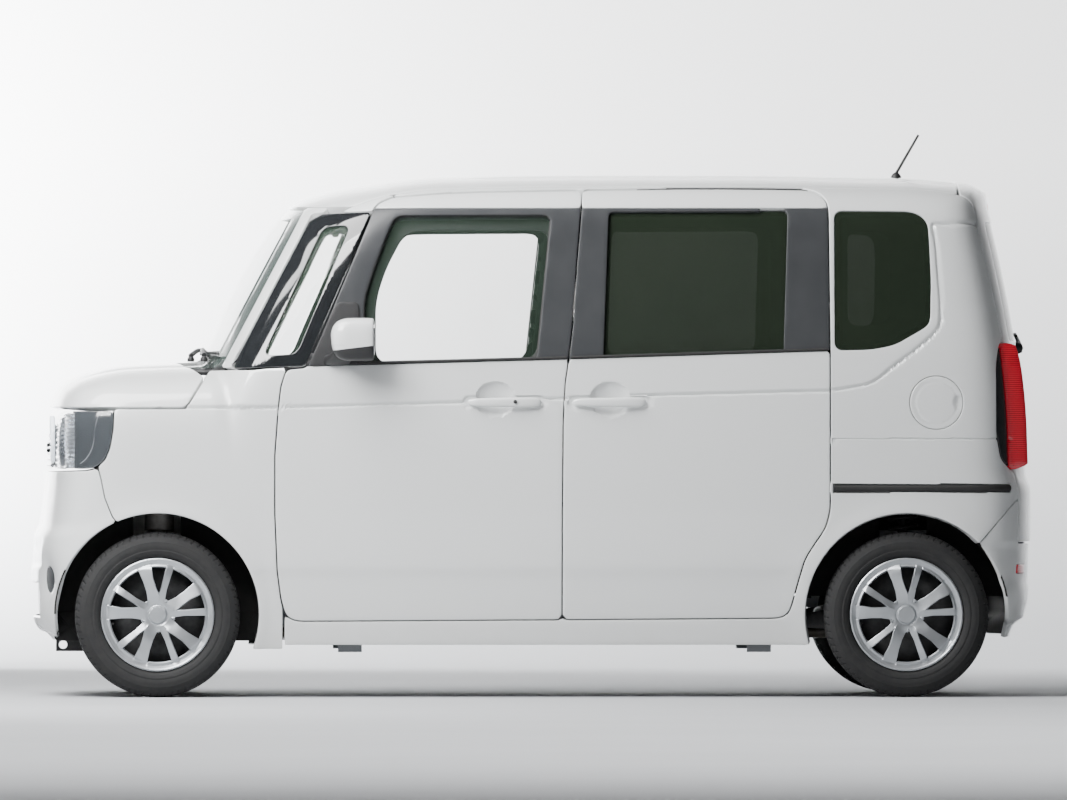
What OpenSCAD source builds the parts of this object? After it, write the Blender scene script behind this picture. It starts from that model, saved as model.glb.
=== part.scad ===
/* [Body] */
// Overall length over the bumpers
car_l = 3395; // [3380:1:3410]
// Width of the body without the mirrors
car_w = 1475; // [1460:1:1480]
// Gap at every shut line
gap = 7; // [6:0.5:8]
// Thickness of the doors below the window line
door_t = 95; // [80:1:100]
// Thickness of the pillars and window frames
frame_t = 50; // [44:1:54]
// Thickness of the fenders and of the bonnet
skin_t = 36; // [30:1:40]
// Thickness of the window glass
glass_t = 5; // [4:0.5:6]
// How far the windscreen bows forward in its middle
screen_bow = 75; // [50:5:90]

/* [Chassis] */
// Distance between the front and rear axles
wheelbase = 2520; // [2510:1:2530]
// Distance between the middles of the left and right tyres
track = 1305; // [1295:1:1310]
// Outer radius of a tyre as it stands
tyre_r = 278; // [274:1:280]
// Width of a tyre
tyre_w = 155; // [145:1:160]
// Radius of the wheel opening in the body
arch_r = 342; // [338:1:346]

/* [Wheels] */
// Radius at which the tyre sits on the rim
rim_r = 177.5; // [175:0.5:180]
// Radius of the wheel cover
cover_r = 191; // [188:0.5:192]
// Pairs of spokes on the wheel cover
spoke_pairs = 5; // [4:1:6]
// Radius of the wheel spindle
spindle_r = 14; // [12:0.5:16]

/* [Hidden] */
$fn = 48;

nose_x = car_l / 2;
tail_x = -nose_x;
front_axle_x = nose_x - 427.5;
rear_axle_x = front_axle_x - wheelbase;
axle_z = tyre_r;
wheel_y = track / 2;
body_z = 165;
belt_z = 1105;
far = 1000;

// Outline tables of the body, each a list of [position, value].
// Height of the body along the middle, by distance forward.
top_line = [
    [-1697.5, 1702], [-1660, 1722], [-1606, 1739], [-1530, 1743], [-1256, 1755],
    [-1136, 1757], [-647, 1765], [-158, 1765], [332, 1755], [576, 1725], [678, 1707],
    [760, 1684], [806, 1663], [838, 1638], [872, 1593], [939, 1499], [1026, 1342],
    [1108, 1160], [1124, 1143], [1150, 1134], [1253, 1130], [1433, 1122], [1566, 1099],
    [1640, 1070], [1677, 1030], [1690, 985], [1697.5, 940]
];
// How far forward the nose reaches, by height.
nose_line = [
    [150, 1590], [212, 1640], [221, 1665], [248, 1683], [286, 1693], [350, 1695],
    [465, 1697.5], [535, 1688], [585, 1667], [620, 1661], [769, 1647], [900, 1643],
    [965, 1637], [1130, 1620]
];
// How far back the tail reaches, by height.
tail_line = [
    [150, -1611], [243, -1640], [262, -1672], [293, -1681], [333, -1689], [465, -1696],
    [690, -1697.5], [728, -1688], [770, -1678], [933, -1672], [1110, -1657], [1270, -1634],
    [1456, -1598], [1607, -1564], [1660, -1552], [1760, -1548]
];
// Half the width of the body, by height.
side_line = [
    [150, 688], [200, 697], [300, 711], [408, 724], [438, 730], [520, 734],
    [660, 737], [800, 737.5], [975, 736], [1130, 728], [1320, 704],
    [1520, 679], [1700, 656], [1770, 645]
];
// How tight the corner between side and top is, by distance forward.
corner_line = [
    [-1700, 40], [480, 40], [820, 15], [1090, 12], [1160, 18], [1700, 18]
];

// A smooth curve through a table: cubic pieces whose slope at each point is
// the harmonic mean of its two neighbours' slopes.
function piece(t, x, i = 0) = i >= len(t) - 2 || x < t[i + 1][0] ? i : piece(t, x, i + 1);
function rise(t, i) = (t[i + 1][1] - t[i][1]) / (t[i + 1][0] - t[i][0]);
function slope(t, i) =
    i == 0 ? rise(t, 0) : i == len(t) - 1 ? rise(t, i - 1)
    : rise(t, i - 1) * rise(t, i) <= 0 ? 0
    : 2 * rise(t, i - 1) * rise(t, i) / (rise(t, i - 1) + rise(t, i));
function curve(t, x) =
    let (v = min(max(x, t[0][0]), t[len(t) - 1][0]), i = piece(t, v),
         h = t[i + 1][0] - t[i][0], s = (v - t[i][0]) / h)
    t[i][1] * (1 + 2 * s) * pow(1 - s, 2) + slope(t, i) * h * s * pow(1 - s, 2)
    + t[i + 1][1] * s * s * (3 - 2 * s) + slope(t, i + 1) * h * s * s * (s - 1);
function ease(s) = let (c = min(max(s, 0), 1)) c * c * (3 - 2 * c);

// The body is a pillow: every cross-section is a squared-off oval whose
// corner tightness varies, and the plan view closes it at nose and tail.
side_round = 2.4;
end_round = [2.2, 2.0];
end_square = 30;
wide = car_w / 1475;
function end_width(u) = pow(max(0, 1 - pow(abs(u), end_square)), 1 / end_round[u > 0 ? 1 : 0]);
function end_at(b, e) = pow(1 - pow(b, end_round[e]), 1 / end_square);
function lean(u, z) = u > 0 ? ease((u - 0.6) / 0.4) * (curve(nose_line, z) - 1697.5)
                            : ease((-u - 0.7) / 0.3) * (curve(tail_line, z) + 1697.5);

function bow(x) = screen_bow * ease((x - 350) / 420) * (1 - ease((x - 1100) / 300));

// Insets of an inner form: below the belt, above it, ahead of the doors, top, nose, tail.
outer_in = [0, 0, 0, 0, 0, 0];
function side_inset(k, x, z) =
    let (f = ease((x - 855) / 60), b = ease((z - 1075) / 90))
    (k[0] * (1 - b) + k[1] * b) * (1 - f) + k[2] * f;
function rows(k, u, fine) =
    let (half = nose_x - (u > 0 ? k[4] : k[5]), x0 = u * half,
         top = curve(top_line, x0) - k[3], p = curve(corner_line, x0),
         r_side = pow(1 - pow(0.97, side_round), 1 / p))
    [for (s = concat([for (i = [0:fine ? 12 : 5]) [r_side * i / (fine ? 12 : 5), -1]],
                     [for (a = fine ? [0.94, 0.88, 0.78, 0.62, 0.4, 0.2, 0] : [0.88, 0.55, 0]) [0, a]]))
        let (a = s[1] < 0 ? pow(1 - pow(s[0], p), 1 / side_round) : s[1],
             r = s[1] < 0 ? s[0] : pow(1 - pow(a, side_round), 1 / p),
             z = body_z + (top - body_z) * r, w = curve(side_line, z) * wide)
        [x0 + lean(u, z) - bow(x0) * a * a, (w - side_inset(k, x0, z)) * a * end_width(u), z]];
function ends(fine) = fine ? [0.08, 0.3, 0.5, 0.68, 0.82, 0.92] : [0.1, 0.5, 0.85];
function middle(fine) =
    fine ? concat([for (x = [-1520:150:430]) x], [for (x = [540:48:1116]) x], [1160, 1270, 1390, 1500])
         : [-1500, -1150, -700, -200, 300, 600, 760, 860, 980, 1106, 1180, 1380, 1530];
function stations(fine) =
    concat([for (b = ends(fine)) -end_at(b, 0)], middle(fine) / 1697.5,
           [for (i = [len(ends(fine)) - 1:-1:0]) end_at(ends(fine)[i], 1)]);

module body_form(k = outer_in, fine = true) {
    stations = stations(fine);
    grid = [for (u = stations) rows(k, u, fine)];
    m = len(grid[0]);
    ring = 2 * m - 1;
    points = [for (row = grid) each concat(row, [for (j = [m - 2:-1:0])
                                                [row[j][0], -row[j][1], row[j][2]]])];
    last = (len(stations) - 1) * ring;
    faces = concat(
        [for (i = [0:len(stations) - 2], j = [0:ring - 1])
            let (a = i * ring + j, b = i * ring + (j + 1) % ring)
            each [[b, a, a + ring], [b + ring, b, a + ring]]],
        [for (c = [0, last], j = [0:m - 2])
            let (a = c + j, b = c + j + 1, d = c + ring - 1 - j, e = c + ring - 2 - j)
            each (j == m - 2 ? (c == 0 ? [[d, a, b]] : [[a, d, b]])
                : c == 0 ? [[d, a, e], [e, a, b]] : [[a, d, e], [a, e, b]])]);
    polyhedron(points, faces);
}

// A prism along Y from outlines drawn in side view, and one along X drawn from behind.
module across(y0, y1) translate([0, y1, 0]) rotate([90, 0, 0]) linear_extrude(y1 - y0) children();
module along(x0, x1) translate([x0, 0, 0]) rotate([90, 0, 90]) linear_extrude(x1 - x0) children();
module mirrored(side) mirror([0, side > 0 ? 0 : 1, 0]) children();
// A pressed panel is one continuous skin.
module pressed() resize([0, 0, 0]) children();

cavity_in = [door_t, frame_t, skin_t, 40, 55, 75];
module shell() difference() {
    body_form();
    translate([0, 0, -1]) intersection() {
        body_form(cavity_in, false);
        translate([-2000, -far, 0]) cube([4000, 2 * far, 2000]);
    }
}
// A sheet of glass that follows the body, sunk a little below its surface.
module glass_form(depth = 8) difference() {
    body_form([depth, depth, depth, depth, depth, depth]);
    body_form([for (i = [0:5]) depth + glass_t]);
}

// Outlines in side view, each a list of [forward, up].
door_front_edge = [
    [787, 255], [818, 260], [841, 279], [856, 333], [868, 426], [876, 620], [876, 813],
    [864, 975], [856, 1045], [837, 1103], [767, 1109], [685, 1303], [600, 1506],
    [548, 1634], [528, 1662], [480, 1684], [311, 1697], [172, 1702]
];
door_split = [
    [-160, 1708], [-157, 1646], [-144, 1490], [-125, 1240], [-113, 1137],
    [-100, 1053], [-94, 930], [-91, 600], [-91, 260]
];
front_door_outline = concat(door_front_edge, door_split);
sliding_door_outline = concat(
    [for (i = [len(door_split) - 1:-1:0]) door_split[i]],
    [[-542, 1714], [-910, 1711], [-958, 1699], [-984, 1670], [-989, 1636], [-993, 1160],
     [-993, 680], [-992, 627], [-977, 570], [-949, 529], [-916, 480], [-903, 452],
     [-878, 364], [-858, 291], [-840, 272], [-811, 265]]);
front_window = [[473, 1622], [-56, 1624], [-6, 1134], [577, 1117], [577, 1340], [540, 1455]];
sliding_window = [[-249, 1634], [-852, 1636], [-836, 1159], [-229, 1141]];
rear_window = [
    [-1008, 1638], [-1266, 1636], [-1302, 1622], [-1326, 1592], [-1334, 1400],
    [-1331, 1262], [-1313, 1243], [-1210, 1184], [-1132, 1169], [-1008, 1166]
];
quarter_window = [[742, 1628], [556, 1634], [778, 1120], [1012, 1112]];
bonnet_outline = [[1800, 975], [1185, 975], [1170, 985], [1094, 1108], [1094, 1320], [1800, 1320]];
lamp_outline = [
    [1417, 967], [1420, 900], [1430, 840], [1446, 800], [1472, 776], [1510, 768],
    [1800, 762], [1800, 967]
];
bumper_seam = [
    [1472, 770], [1461, 735], [1448, 670], [1421, 604], [1380, 560], [1330, 480],
    [1330, 100], [1800, 100], [1800, 756], [1510, 762]
];
fender_outline = [
    [1417, 967], [1420, 900], [1430, 840], [1446, 800], [1472, 776], [1461, 735],
    [1448, 670], [1421, 604], [1380, 560], [1330, 480], [1270, 280], [920, 100],
    [848, 100], [848, 300], [856, 333], [868, 426], [876, 620], [876, 813], [864, 975],
    [856, 1045], [837, 1103], [1040, 1103], [1094, 1103], [1168, 982], [1183, 971], [1417, 971]
];
tail_lamp_outline = [
    [-1618, 1246], [-1566, 1190], [-1555, 1120], [-1555, 880], [-1570, 800],
    [-1614, 756], [-1800, 756], [-1800, 1246]
];
rear_bumper_outline = [
    [-1800, 668], [-1630, 668], [-1607, 644], [-1505, 529], [-1400, 430],
    [-1400, 100], [-1800, 100]
];
tailgate_edge = [
    [-1434, 1900], [-1434, 1712], [-1440, 1655], [-1452, 1500], [-1520, 1215], [-1556, 900],
    [-1560, 520], [-1900, 520], [-1900, 1900]
];

module round_2d(outline, r = 12) offset(r = r, $fn = 16) offset(delta = -r) polygon(outline);
module inset_2d(outline, d = gap / 2) offset(delta = -d) polygon(outline);

module wheel_wells()
    for (x = [front_axle_x, rear_axle_x], s = [0, 1]) mirror([0, s, 0]) translate([x, 0, axle_z]) rotate([-90, 0, 0]) {
        translate([0, 0, 690]) cylinder(r = arch_r, h = 400);
        translate([0, 0, 380]) cylinder(r = arch_r + 10, h = 316);
    }

// The pressed line that runs back under the windows and up behind the rear one,
// and the shut line below it on the rear quarter.
line_region = [
    [1900, 984], [864, 984], [245, 1001], [-387, 1025], [-993, 1040], [-1127, 1062], [-1207, 1124],
    [-1290, 1187], [-1345, 1236], [-1357, 1262], [-1358, 1328], [-1342, 1534], [-1326, 1602],
    [-1900, 1608], [-1900, -300], [1900, -300]
];
module pressed_lines() difference() {
    across(0, far) {
        difference() {
            polygon(line_region);
            offset(delta = -7) polygon(line_region);
        }
        polygon([[-1000, 866], [-1900, 866], [-1900, 872], [-1000, 872]]);
    }
    body_form([4, 4, 4, 4, 4, 4], false);
}

// Doors
handle_front_x = 104;
handle_slide_x = -248;
handle_z = 997;
module handle_cup(x) translate([x, 742, handle_z]) scale([64, 24, 54]) sphere(r = 1, $fn = 28);
module handle_bar(x) translate([x, 745, handle_z]) hull() {
    translate([-112, -2, 0]) scale([22, 8, 12]) sphere(r = 1, $fn = 20);
    scale([70, 10, 21]) sphere(r = 1, $fn = 20);
    translate([112, -2, 0]) scale([22, 8, 12]) sphere(r = 1, $fn = 20);
}

flange_in = [for (i = [0:5]) 28];
module beyond_flange(outline) difference() {
    body_form(flange_in, false);
    across(0, far) offset(delta = -24) polygon(outline);
}
module front_door(side) color("white") mirrored(side) pressed() {
    handle_bar(handle_front_x);
    difference() {
        intersection() {
            shell();
            across(582, far) inset_2d(front_door_outline);
        }
        beyond_flange(front_door_outline);
        pressed_lines();
        handle_cup(handle_front_x);
        across(0, far) round_2d(front_window, 24);
    }
}
module front_door_glass(side) color([0.6, 0.75, 0.68, 0.4]) mirrored(side) pressed() intersection() {
    glass_form(14);
    across(582, far) offset(delta = -0.5) round_2d(front_window, 24);
}
module sliding_doors() color("white") for (s = [1, -1]) mirrored(s) pressed() {
    handle_bar(handle_slide_x);
    difference() {
        intersection() {
            shell();
            across(582, far) inset_2d(sliding_door_outline);
        }
        beyond_flange(sliding_door_outline);
        pressed_lines();
        handle_cup(handle_slide_x);
        across(0, far) round_2d(sliding_window, 18);
    }
}
module side_windows() {
    intersection() {
        glass_form(14);
        across(582, far) offset(delta = -0.5) round_2d(sliding_window, 18);
    }
    intersection() {
        glass_form(9);
        across(582, far) {
            offset(delta = -0.5) round_2d(rear_window, 20);
            offset(delta = -0.5) round_2d(quarter_window, 12);
        }
    }
}
module side_glass() color([0.1, 0.12, 0.11, 0.8]) for (s = [1, -1]) mirrored(s) pressed() side_windows();

// Body sides: sill, pillars, roof rail and rear quarter, with the inner door frame behind the doors.
ditch_y = 560;
module tailgate_zone(grow)
    for (s = [0, 1]) mirror([0, s, 0]) intersection() {
        across(-far, far) offset(delta = grow) polygon(tailgate_edge);
        along(-2000, -1400) offset(delta = grow) polygon([
            [-50, 520], [622, 520], [622, 1255], [604, 1575], [556, 1655], [556, 1900], [-50, 1900]]);
    }
module side_region() difference() {
    across(540, far) polygon([
        [842, 100], [842, 300], [831, 1107], [1040, 1109], [1088, 1112], [1020, 1206],
        [868, 1612], [842, 1720], [706, 1815], [-1800, 1815], [-1800, 100]]);
    translate([-1800, -ditch_y, 1420]) cube([4000, 2 * ditch_y, 600]);
    screen_zone(5);
    tailgate_zone(gap / 2);
    across(0, far) offset(delta = gap / 2) polygon(tail_lamp_outline);
    across(-far, far) offset(delta = gap / 2) polygon(rear_bumper_outline);
}
jamb = 42;
pocket_in = [door_t + 8, frame_t + 8, skin_t + 8, 48, 60, 80];
inner_in = [for (i = [0:5]) pocket_in[i] + (i < 3 ? jamb : 30)];
rail_slot = [[-1000, 689], [-1602, 689], [-1602, 717], [-1000, 717]];
module body_side(side) mirrored(side) pressed() difference() {
    intersection() {
        body_form();
        side_region();
    }
    body_form(inner_in, false);
    difference() {
        across(0, far) offset(delta = gap / 2) {
            polygon(front_door_outline);
            polygon(sliding_door_outline);
        }
        body_form(pocket_in, false);
    }
    across(0, far) offset(delta = -jamb) polygon(front_door_outline);
    across(0, far) offset(delta = -jamb) polygon(sliding_door_outline);
    across(0, far) round_2d(rear_window, 20);
    across(0, far) round_2d(quarter_window, 12);
    across(722, far) polygon(rail_slot);
    pressed_lines();
    if (side > 0) fuel_hole(fuel_lid_r + 5);
    wheel_wells();
    translate([-2000, -far, 0]) cube([4000, 2 * far, 175]);
}
module body_sides() color("white") {
    body_side(1);
    body_side(-1);
}
fuel_lid_x = -1350;
fuel_lid_z = 991;
fuel_lid_r = 88;
module fuel_hole(r, depth = 712) translate([fuel_lid_x, depth, fuel_lid_z]) rotate([-90, 0, 0]) cylinder(r = r, h = 200);
module number_plate() color([0.9, 0.9, 0.9]) difference() {
    translate([-1668, -165, 820]) cube([4, 330, 165]);
    for (s = [-1, 1]) translate([-1700, s * 105, 965]) rotate([0, 90, 0]) cylinder(r = 3.25, h = 40);
}
module fuel_lid() color("white") pressed() intersection() {
    difference() {
        body_form();
        body_form([8, 8, 8, 8, 8, 8]);
    }
    fuel_hole(fuel_lid_r, 600);
}

module roof() color("white") pressed() intersection() {
    shell();
    translate([-1434 + gap, -ditch_y + 1, 1560]) cube([2600, 2 * ditch_y - 2, 400]);
    across(-far, far) polygon([[-1428, 1560], [-1428, 1900], [900, 1900], [900, 1647], [600, 1647], [560, 1560]]);
}

// The windscreen's place between the pillars.
module screen_zone(grow = 0) intersection() {
    translate([0, -far, 1112 - grow]) cube([2000, 2 * far, 700]);
    along(500, 1300) offset(delta = grow) polygon([[-658, 1100], [658, 1100], [596, 1700], [-596, 1700]]);
    across(-far, far) offset(delta = grow) polygon([
        [1300, 1100], [1030, 1100], [690, 1600], [660, 1700], [1300, 1700]]);
}

// Glass of the windscreen, reaching from the cowl to the roof and between the pillars.
module windscreen() color([0.7, 0.8, 0.78, 0.4]) pressed() difference() {
    intersection() {
        glass_form(3);
        screen_zone();
        across(-far, far) polygon([[1300, 1122], [1040, 1122], [600, 1560], [600, 1640], [1300, 1640]]);
    }
    bowed(1100, screen_bow, 1900);
}

module front_fenders() color("white") for (s = [1, -1]) mirrored(s) pressed() difference() {
    intersection() {
        shell();
        across(300, far) inset_2d(fender_outline);
    }
    pressed_lines();
    wheel_wells();
}
module front_bumper() color("white") pressed() difference() {
    intersection() {
        shell();
        across(-far, far) inset_2d(bumper_seam, 1.5);
    }
    wheel_wells();
    translate([1500, -560, 80]) cube([300, 1120, 120]);
    translate([1500, 0, 330]) along(0, 300) offset(r = 14, $fn = 16) square([820, 90], center = true);
}
module rear_bumper() color("white") pressed() difference() {
    intersection() {
        shell();
        across(-far, far) inset_2d(rear_bumper_outline, 1.5);
    }
    wheel_wells();
    tailgate_zone(gap / 2);
    translate([-1900, -600, 80]) cube([400, 1200, 130]);
}

// Lamps and grille fill the band between the bonnet and the bumper.
grille_half = 330;
module headlamps() color([0.75, 0.8, 0.85]) for (s = [1, -1]) mirrored(s) pressed() intersection() {
    difference() {
        body_form();
        body_form([70, 70, 70, 70, 90, 90], false);
    }
    across(grille_half + gap, far) inset_2d(lamp_outline);
}
module grille() color([0.08, 0.08, 0.09]) pressed() intersection() {
    difference() {
        body_form([6, 6, 6, 6, 6, 6]);
        body_form([40, 40, 40, 40, 50, 50], false);
    }
    across(-grille_half, grille_half) polygon([[1400, 769], [1400, 966], [1800, 966], [1800, 765]]);
}
module tail_lamps() color([0.65, 0.05, 0.08]) for (s = [1, -1]) mirrored(s) pressed() intersection() {
    difference() {
        body_form();
        body_form([80, 80, 80, 80, 90, 100], false);
    }
    across(629, far) polygon(tail_lamp_outline);
}

// Tailgate: the whole back face with its wide window.
tailgate_window = [[-545, 1200], [545, 1200], [520, 1575], [500, 1600], [-500, 1600], [-520, 1575]];
module tailgate() color("white") pressed() difference() {
    intersection() {
        shell();
        tailgate_zone(-gap / 2);
    }
    along(-2000, -1300) round_2d(tailgate_window, 30);
    translate([-1700, -180, 806]) cube([36, 360, 194]);
    for (s = [-1, 1]) translate([-1665, s * 105, 965]) rotate([0, 90, 0]) cylinder(r = 5, h = 24, $fn = 16);
}
module tailgate_glass() color([0.1, 0.12, 0.11, 0.8]) pressed() intersection() {
    glass_form(8);
    along(-2000, -1300) offset(delta = -0.5) round_2d(tailgate_window, 30);
}
// The bonnet's rear edge and the foot of the windscreen are bowed in plan.
module bowed(x, bow, x_far) linear_extrude(2000) polygon(concat(
    [for (y = [-700:50:700]) [x - bow * pow(y / 650, 2), y]], [[x_far, 700], [x_far, -700]]));
module bonnet() color("white") pressed() intersection() {
    shell();
    across(-far, far) inset_2d(bonnet_outline, 1.5);
    bowed(1228, 126, 1900);
}
module cowl() color([0.1, 0.1, 0.1]) pressed() difference() {
    intersection() {
        body_form([2, 2, 4, 4, 4, 4]);
        across(-662, 662) polygon([[1000, 1113], [1098, 1118], [1300, 1118], [1300, 1300], [1000, 1300]]);
        bowed(1104, screen_bow, 1900);
    }
    bowed(1228 - gap, 126, 1900);
    body_form([30, 30, 30, 30, 30, 30], false);
}

// Door mirrors: a foot on the door corner, an arm and the housing.
module door_mirror(side) color("white") mirrored(side) {
    translate([672, 742, 1150]) hull() {
        translate([0, -8, -12]) cube([70, 10, 36], center = true);
        translate([-30, 46, -4]) cube([60, 10, 26], center = true);
    }
    translate([607, 806, 1203]) hull() for (x = [-64, 64], y = [-42, 62], z = [-56, 52])
        translate([x * (z > 0 ? 0.8 : 1) , y * (z > 0 ? 0.9 : 1), z]) sphere(r = 20, $fn = 12);
}

// Underbody
module floor_pan() color([0.35, 0.36, 0.38]) {
    across(-385, 385) polygon([
        [-1560, 560], [-1560, 530], [-1090, 530], [-1000, 470], [-960, 300], [900, 300], [1010, 420],
        [1030, 632], [1030, 1060], [1002, 1060], [1002, 632], [985, 440], [890, 330], [-940, 330],
        [-975, 490], [-1080, 560]]);
    for (s = [0, 1]) mirror([0, s, 0]) {
        across(380, 556) polygon([
            [-905, 300], [908, 300], [908, 640], [1030, 640], [1030, 668], [880, 668], [880, 330], [-905, 330]]);
        across(380, 392) polygon([[890, 300], [1012, 420], [1030, 668], [890, 668]]);
        across(380, 432) polygon([
            [-1560, 560], [-1560, 530], [-1090, 530], [-1000, 470], [-960, 300], [-900, 300], [-900, 330],
            [-940, 330], [-975, 490], [-1080, 560]]);
    }
    for (s = [-1, 1], x = [-760, 620])
        translate([x - 40, s * 515 - 25, 150]) cube([80, 50, 151]);
    for (s = [-1, 1])
        translate([-870, s * 470 - 30, 240]) cube([1740, 60, 61]);
}
module fuel_tank() color([0.15, 0.15, 0.16]) translate([-420, -400, 185])
    hull() for (x = [30, 590], y = [30, 770], z = [20, 90]) translate([x, y, z]) sphere(r = 20, $fn = 16);
module engine() color([0.5, 0.5, 0.52]) translate([1120, -300, 260]) cube([360, 600, 560]);
module exhaust() color([0.55, 0.55, 0.56]) {
    translate([-1470, -418, 205]) rotate([0, 90, 0]) cylinder(r = 18, h = 2370);
    translate([-1470, -90, 262]) rotate([90, 0, 0]) cylinder(r = 62, h = 345);
    translate([-1534, -330, 250]) rotate([0, 90, 0]) cylinder(r = 20, h = 60);
}
module front_subframe() color([0.12, 0.12, 0.13]) {
    translate([1060, -340, 175]) cube([60, 680, 60]);
    translate([1380, -340, 175]) cube([60, 680, 60]);
    for (s = [-1, 1]) translate([1060, s * 340 - 30, 175]) cube([380, 60, 60]);
    for (s = [0, 1]) mirror([0, s, 0]) hull() {
        translate([1110, 372, 180]) cylinder(r = 14, h = 26);
        translate([1380, 372, 180]) cylinder(r = 14, h = 26);
        translate([front_axle_x, 556, 172]) cylinder(r = 16, h = 20);
    }
    difference() {
        translate([1430, 226, 150]) cube([180, 14, 46]);
        translate([1586, 0, 172]) rotate([-90, 0, 0]) cylinder(r = 14, h = 500);
    }
}
module rear_axle() color([0.12, 0.12, 0.13]) {
    translate([-1010, 0, 262]) rotate([90, 0, 0]) cylinder(r = 34, h = 1000, center = true);
    for (s = [0, 1]) mirror([0, s, 0]) {
        hull() {
            translate([-922, 476, 255]) rotate([90, 0, 0]) cylinder(r = 24, h = 40, center = true);
            translate([-1010, 500, 262]) rotate([90, 0, 0]) cylinder(r = 36, h = 40, center = true);
        }
        hull() {
            translate([-1010, 500, 262]) rotate([90, 0, 0]) cylinder(r = 36, h = 40, center = true);
            translate([rear_axle_x, 510, axle_z]) rotate([90, 0, 0]) cylinder(r = 44, h = 40, center = true);
        }
        translate([rear_axle_x, 529, axle_z]) rotate([-90, 0, 0]) cylinder(r = 40, h = 22);
        translate([rear_axle_x, 550, axle_z]) rotate([-90, 0, 0]) cylinder(r = spindle_r, h = 110);
        translate([-1340, 470, 262]) rotate([-6, 0, 0]) cylinder(r = 24, h = 270);
    }
}

// Suspension strut and hub carrier, turning about the line from ball joint to strut top.
king_low = [front_axle_x + 6, 552, 204];
king_top = [front_axle_x - 14, 496, 784];
module front_knuckle(side) color([0.3, 0.3, 0.31]) mirrored(side) {
    translate(king_low) cylinder(r = 15, h = 30);
    translate([front_axle_x - 26, 524, 222]) cube([52, 28, 150]);
    translate([front_axle_x, 550, axle_z]) rotate([-90, 0, 0]) cylinder(r = spindle_r, h = 110);
    translate([front_axle_x, 548, axle_z]) rotate([-90, 0, 0]) cylinder(r = 34, h = 18);
    run = king_top - king_low;
    translate(king_low + run * 0.26) rotate([0, atan2(run[0], run[2]), 0]) rotate([-atan2(run[1], run[2]), 0, 0]) {
        cylinder(r = 23, h = 230);
        translate([0, 0, 205]) cylinder(r = 50, h = 180);
        translate([0, 0, 375]) cylinder(r = 58, h = 18);
    }
}

// Wheels
module tyre(x, side) color([0.07, 0.07, 0.07]) translate([x, side * wheel_y, axle_z]) rotate([90, 0, 0])
    rotate_extrude($fn = 96) {
        h = tyre_w / 2;
        polygon([
            [rim_r, -h + 18], [rim_r + 12.5, -h + 16], [rim_r + 16, -h + 8], [rim_r + 34, -h + 2],
            [rim_r + 52, -h], [rim_r + 68, -h + 4],
            [rim_r + 80, -h + 11], [tyre_r - 4, -h + 20], [tyre_r - 1, -h + 32], [tyre_r, -20],
            [tyre_r, 20], [tyre_r - 1, h - 32], [tyre_r - 4, h - 20], [rim_r + 80, h - 11], [rim_r + 68, h - 4],
            [rim_r + 52, h], [rim_r + 34, h - 2], [rim_r + 18, h - 5], [rim_r + 16, h - 12],
            [rim_r + 12.5, h - 16], [rim_r, h - 18]]);
    }
// One spoke, drawn pointing along X in the plane of the cover.
module spoke(w_hub, w_rim, r) polygon([[20, -w_hub / 2], [r, -w_rim / 2], [r, w_rim / 2], [20, w_hub / 2]]);
module cover() difference() {
    union() {
        difference() {
            cylinder(r = cover_r, h = 9);
            translate([0, 0, -1]) linear_extrude(20) difference() {
                circle(r = cover_r - 24);
                circle(r = 56);
                for (i = [0:spoke_pairs - 1]) rotate(i * 360 / spoke_pairs) {
                    rotate(70) spoke(34, 52, cover_r);
                    rotate(108) spoke(22, 26, cover_r);
                }
            }
        }
        cylinder(r = 30, h = 16);
    }
}
module wheel(x, side) color([0.6, 0.62, 0.64]) translate([x, side * wheel_y, axle_z]) rotate([-90 * side, 0, 0]) {
    difference() {
        union() {
            rotate_extrude($fn = 96) polygon([
                [rim_r - 5, -66], [rim_r + 12, -66], [rim_r + 12, -62], [rim_r, -59.5], [rim_r, 59.5],
                [rim_r + 10, 62], [rim_r + 10, 65], [rim_r - 5, 65]]);
            translate([0, 0, -8]) cylinder(r = rim_r - 4, h = 8);
            translate([0, 0, -70]) cylinder(r = 60, h = 64);
        }
        translate([0, 0, -200]) cylinder(r = spindle_r + 0.05, h = 230);
        translate([0, 0, -9]) for (i = [0:7]) rotate(i * 45) translate([120, 0, 0]) cylinder(r = 26, h = 10);
    }
    translate([0, 0, -50]) rotate_extrude() polygon([[50, 0], [118, 0], [118, 10], [50, 10]]);
    translate([0, 0, 64.9]) cover();
}

// Interior
module dashboard() color([0.2, 0.2, 0.21]) across(-580, 580) polygon([
    [640, 960], [650, 1050], [720, 1100], [990, 1090], [996, 760], [900, 700], [760, 740]]);
module steering_wheel() color([0.1, 0.1, 0.1]) translate([560, -345, 1075]) rotate([0, -62, 0]) {
    rotate_extrude() translate([172, 0]) circle(r = 14, $fn = 24);
    translate([0, 0, -30]) cylinder(r = 62, h = 36);
    for (a = [90, 210, 330]) rotate(a) translate([0, -14, -12]) cube([172, 28, 12]);
    translate([0, 0, -74]) cylinder(r = 20, h = 60);
}
module cushion(size, r = 34) hull() for (x = [r, size[0] - r], y = [r, size[1] - r], z = [r, size[2] - r])
    translate([x, y, z]) sphere(r = r, $fn = 12);
module seat_back(w, h, lean_back, t = 120) rotate([0, -lean_back, 0]) translate([-t, -w / 2, 0]) cushion([t, w, h]);
module front_seat() {
    translate([-30, -255, 520]) cushion([500, 510, 150]);
    translate([-30, 0, 600]) seat_back(500, 600, 12);
    translate([-170, 0, 1240]) rotate([0, -8, 0]) translate([-40, -130, 0]) cushion([90, 260, 180], 30);
    translate([20, -200, 330]) cube([400, 400, 195]);
}
module front_seats() color([0.3, 0.3, 0.3]) for (y = [-310, 310]) translate([0, y, 0]) front_seat();
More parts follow.
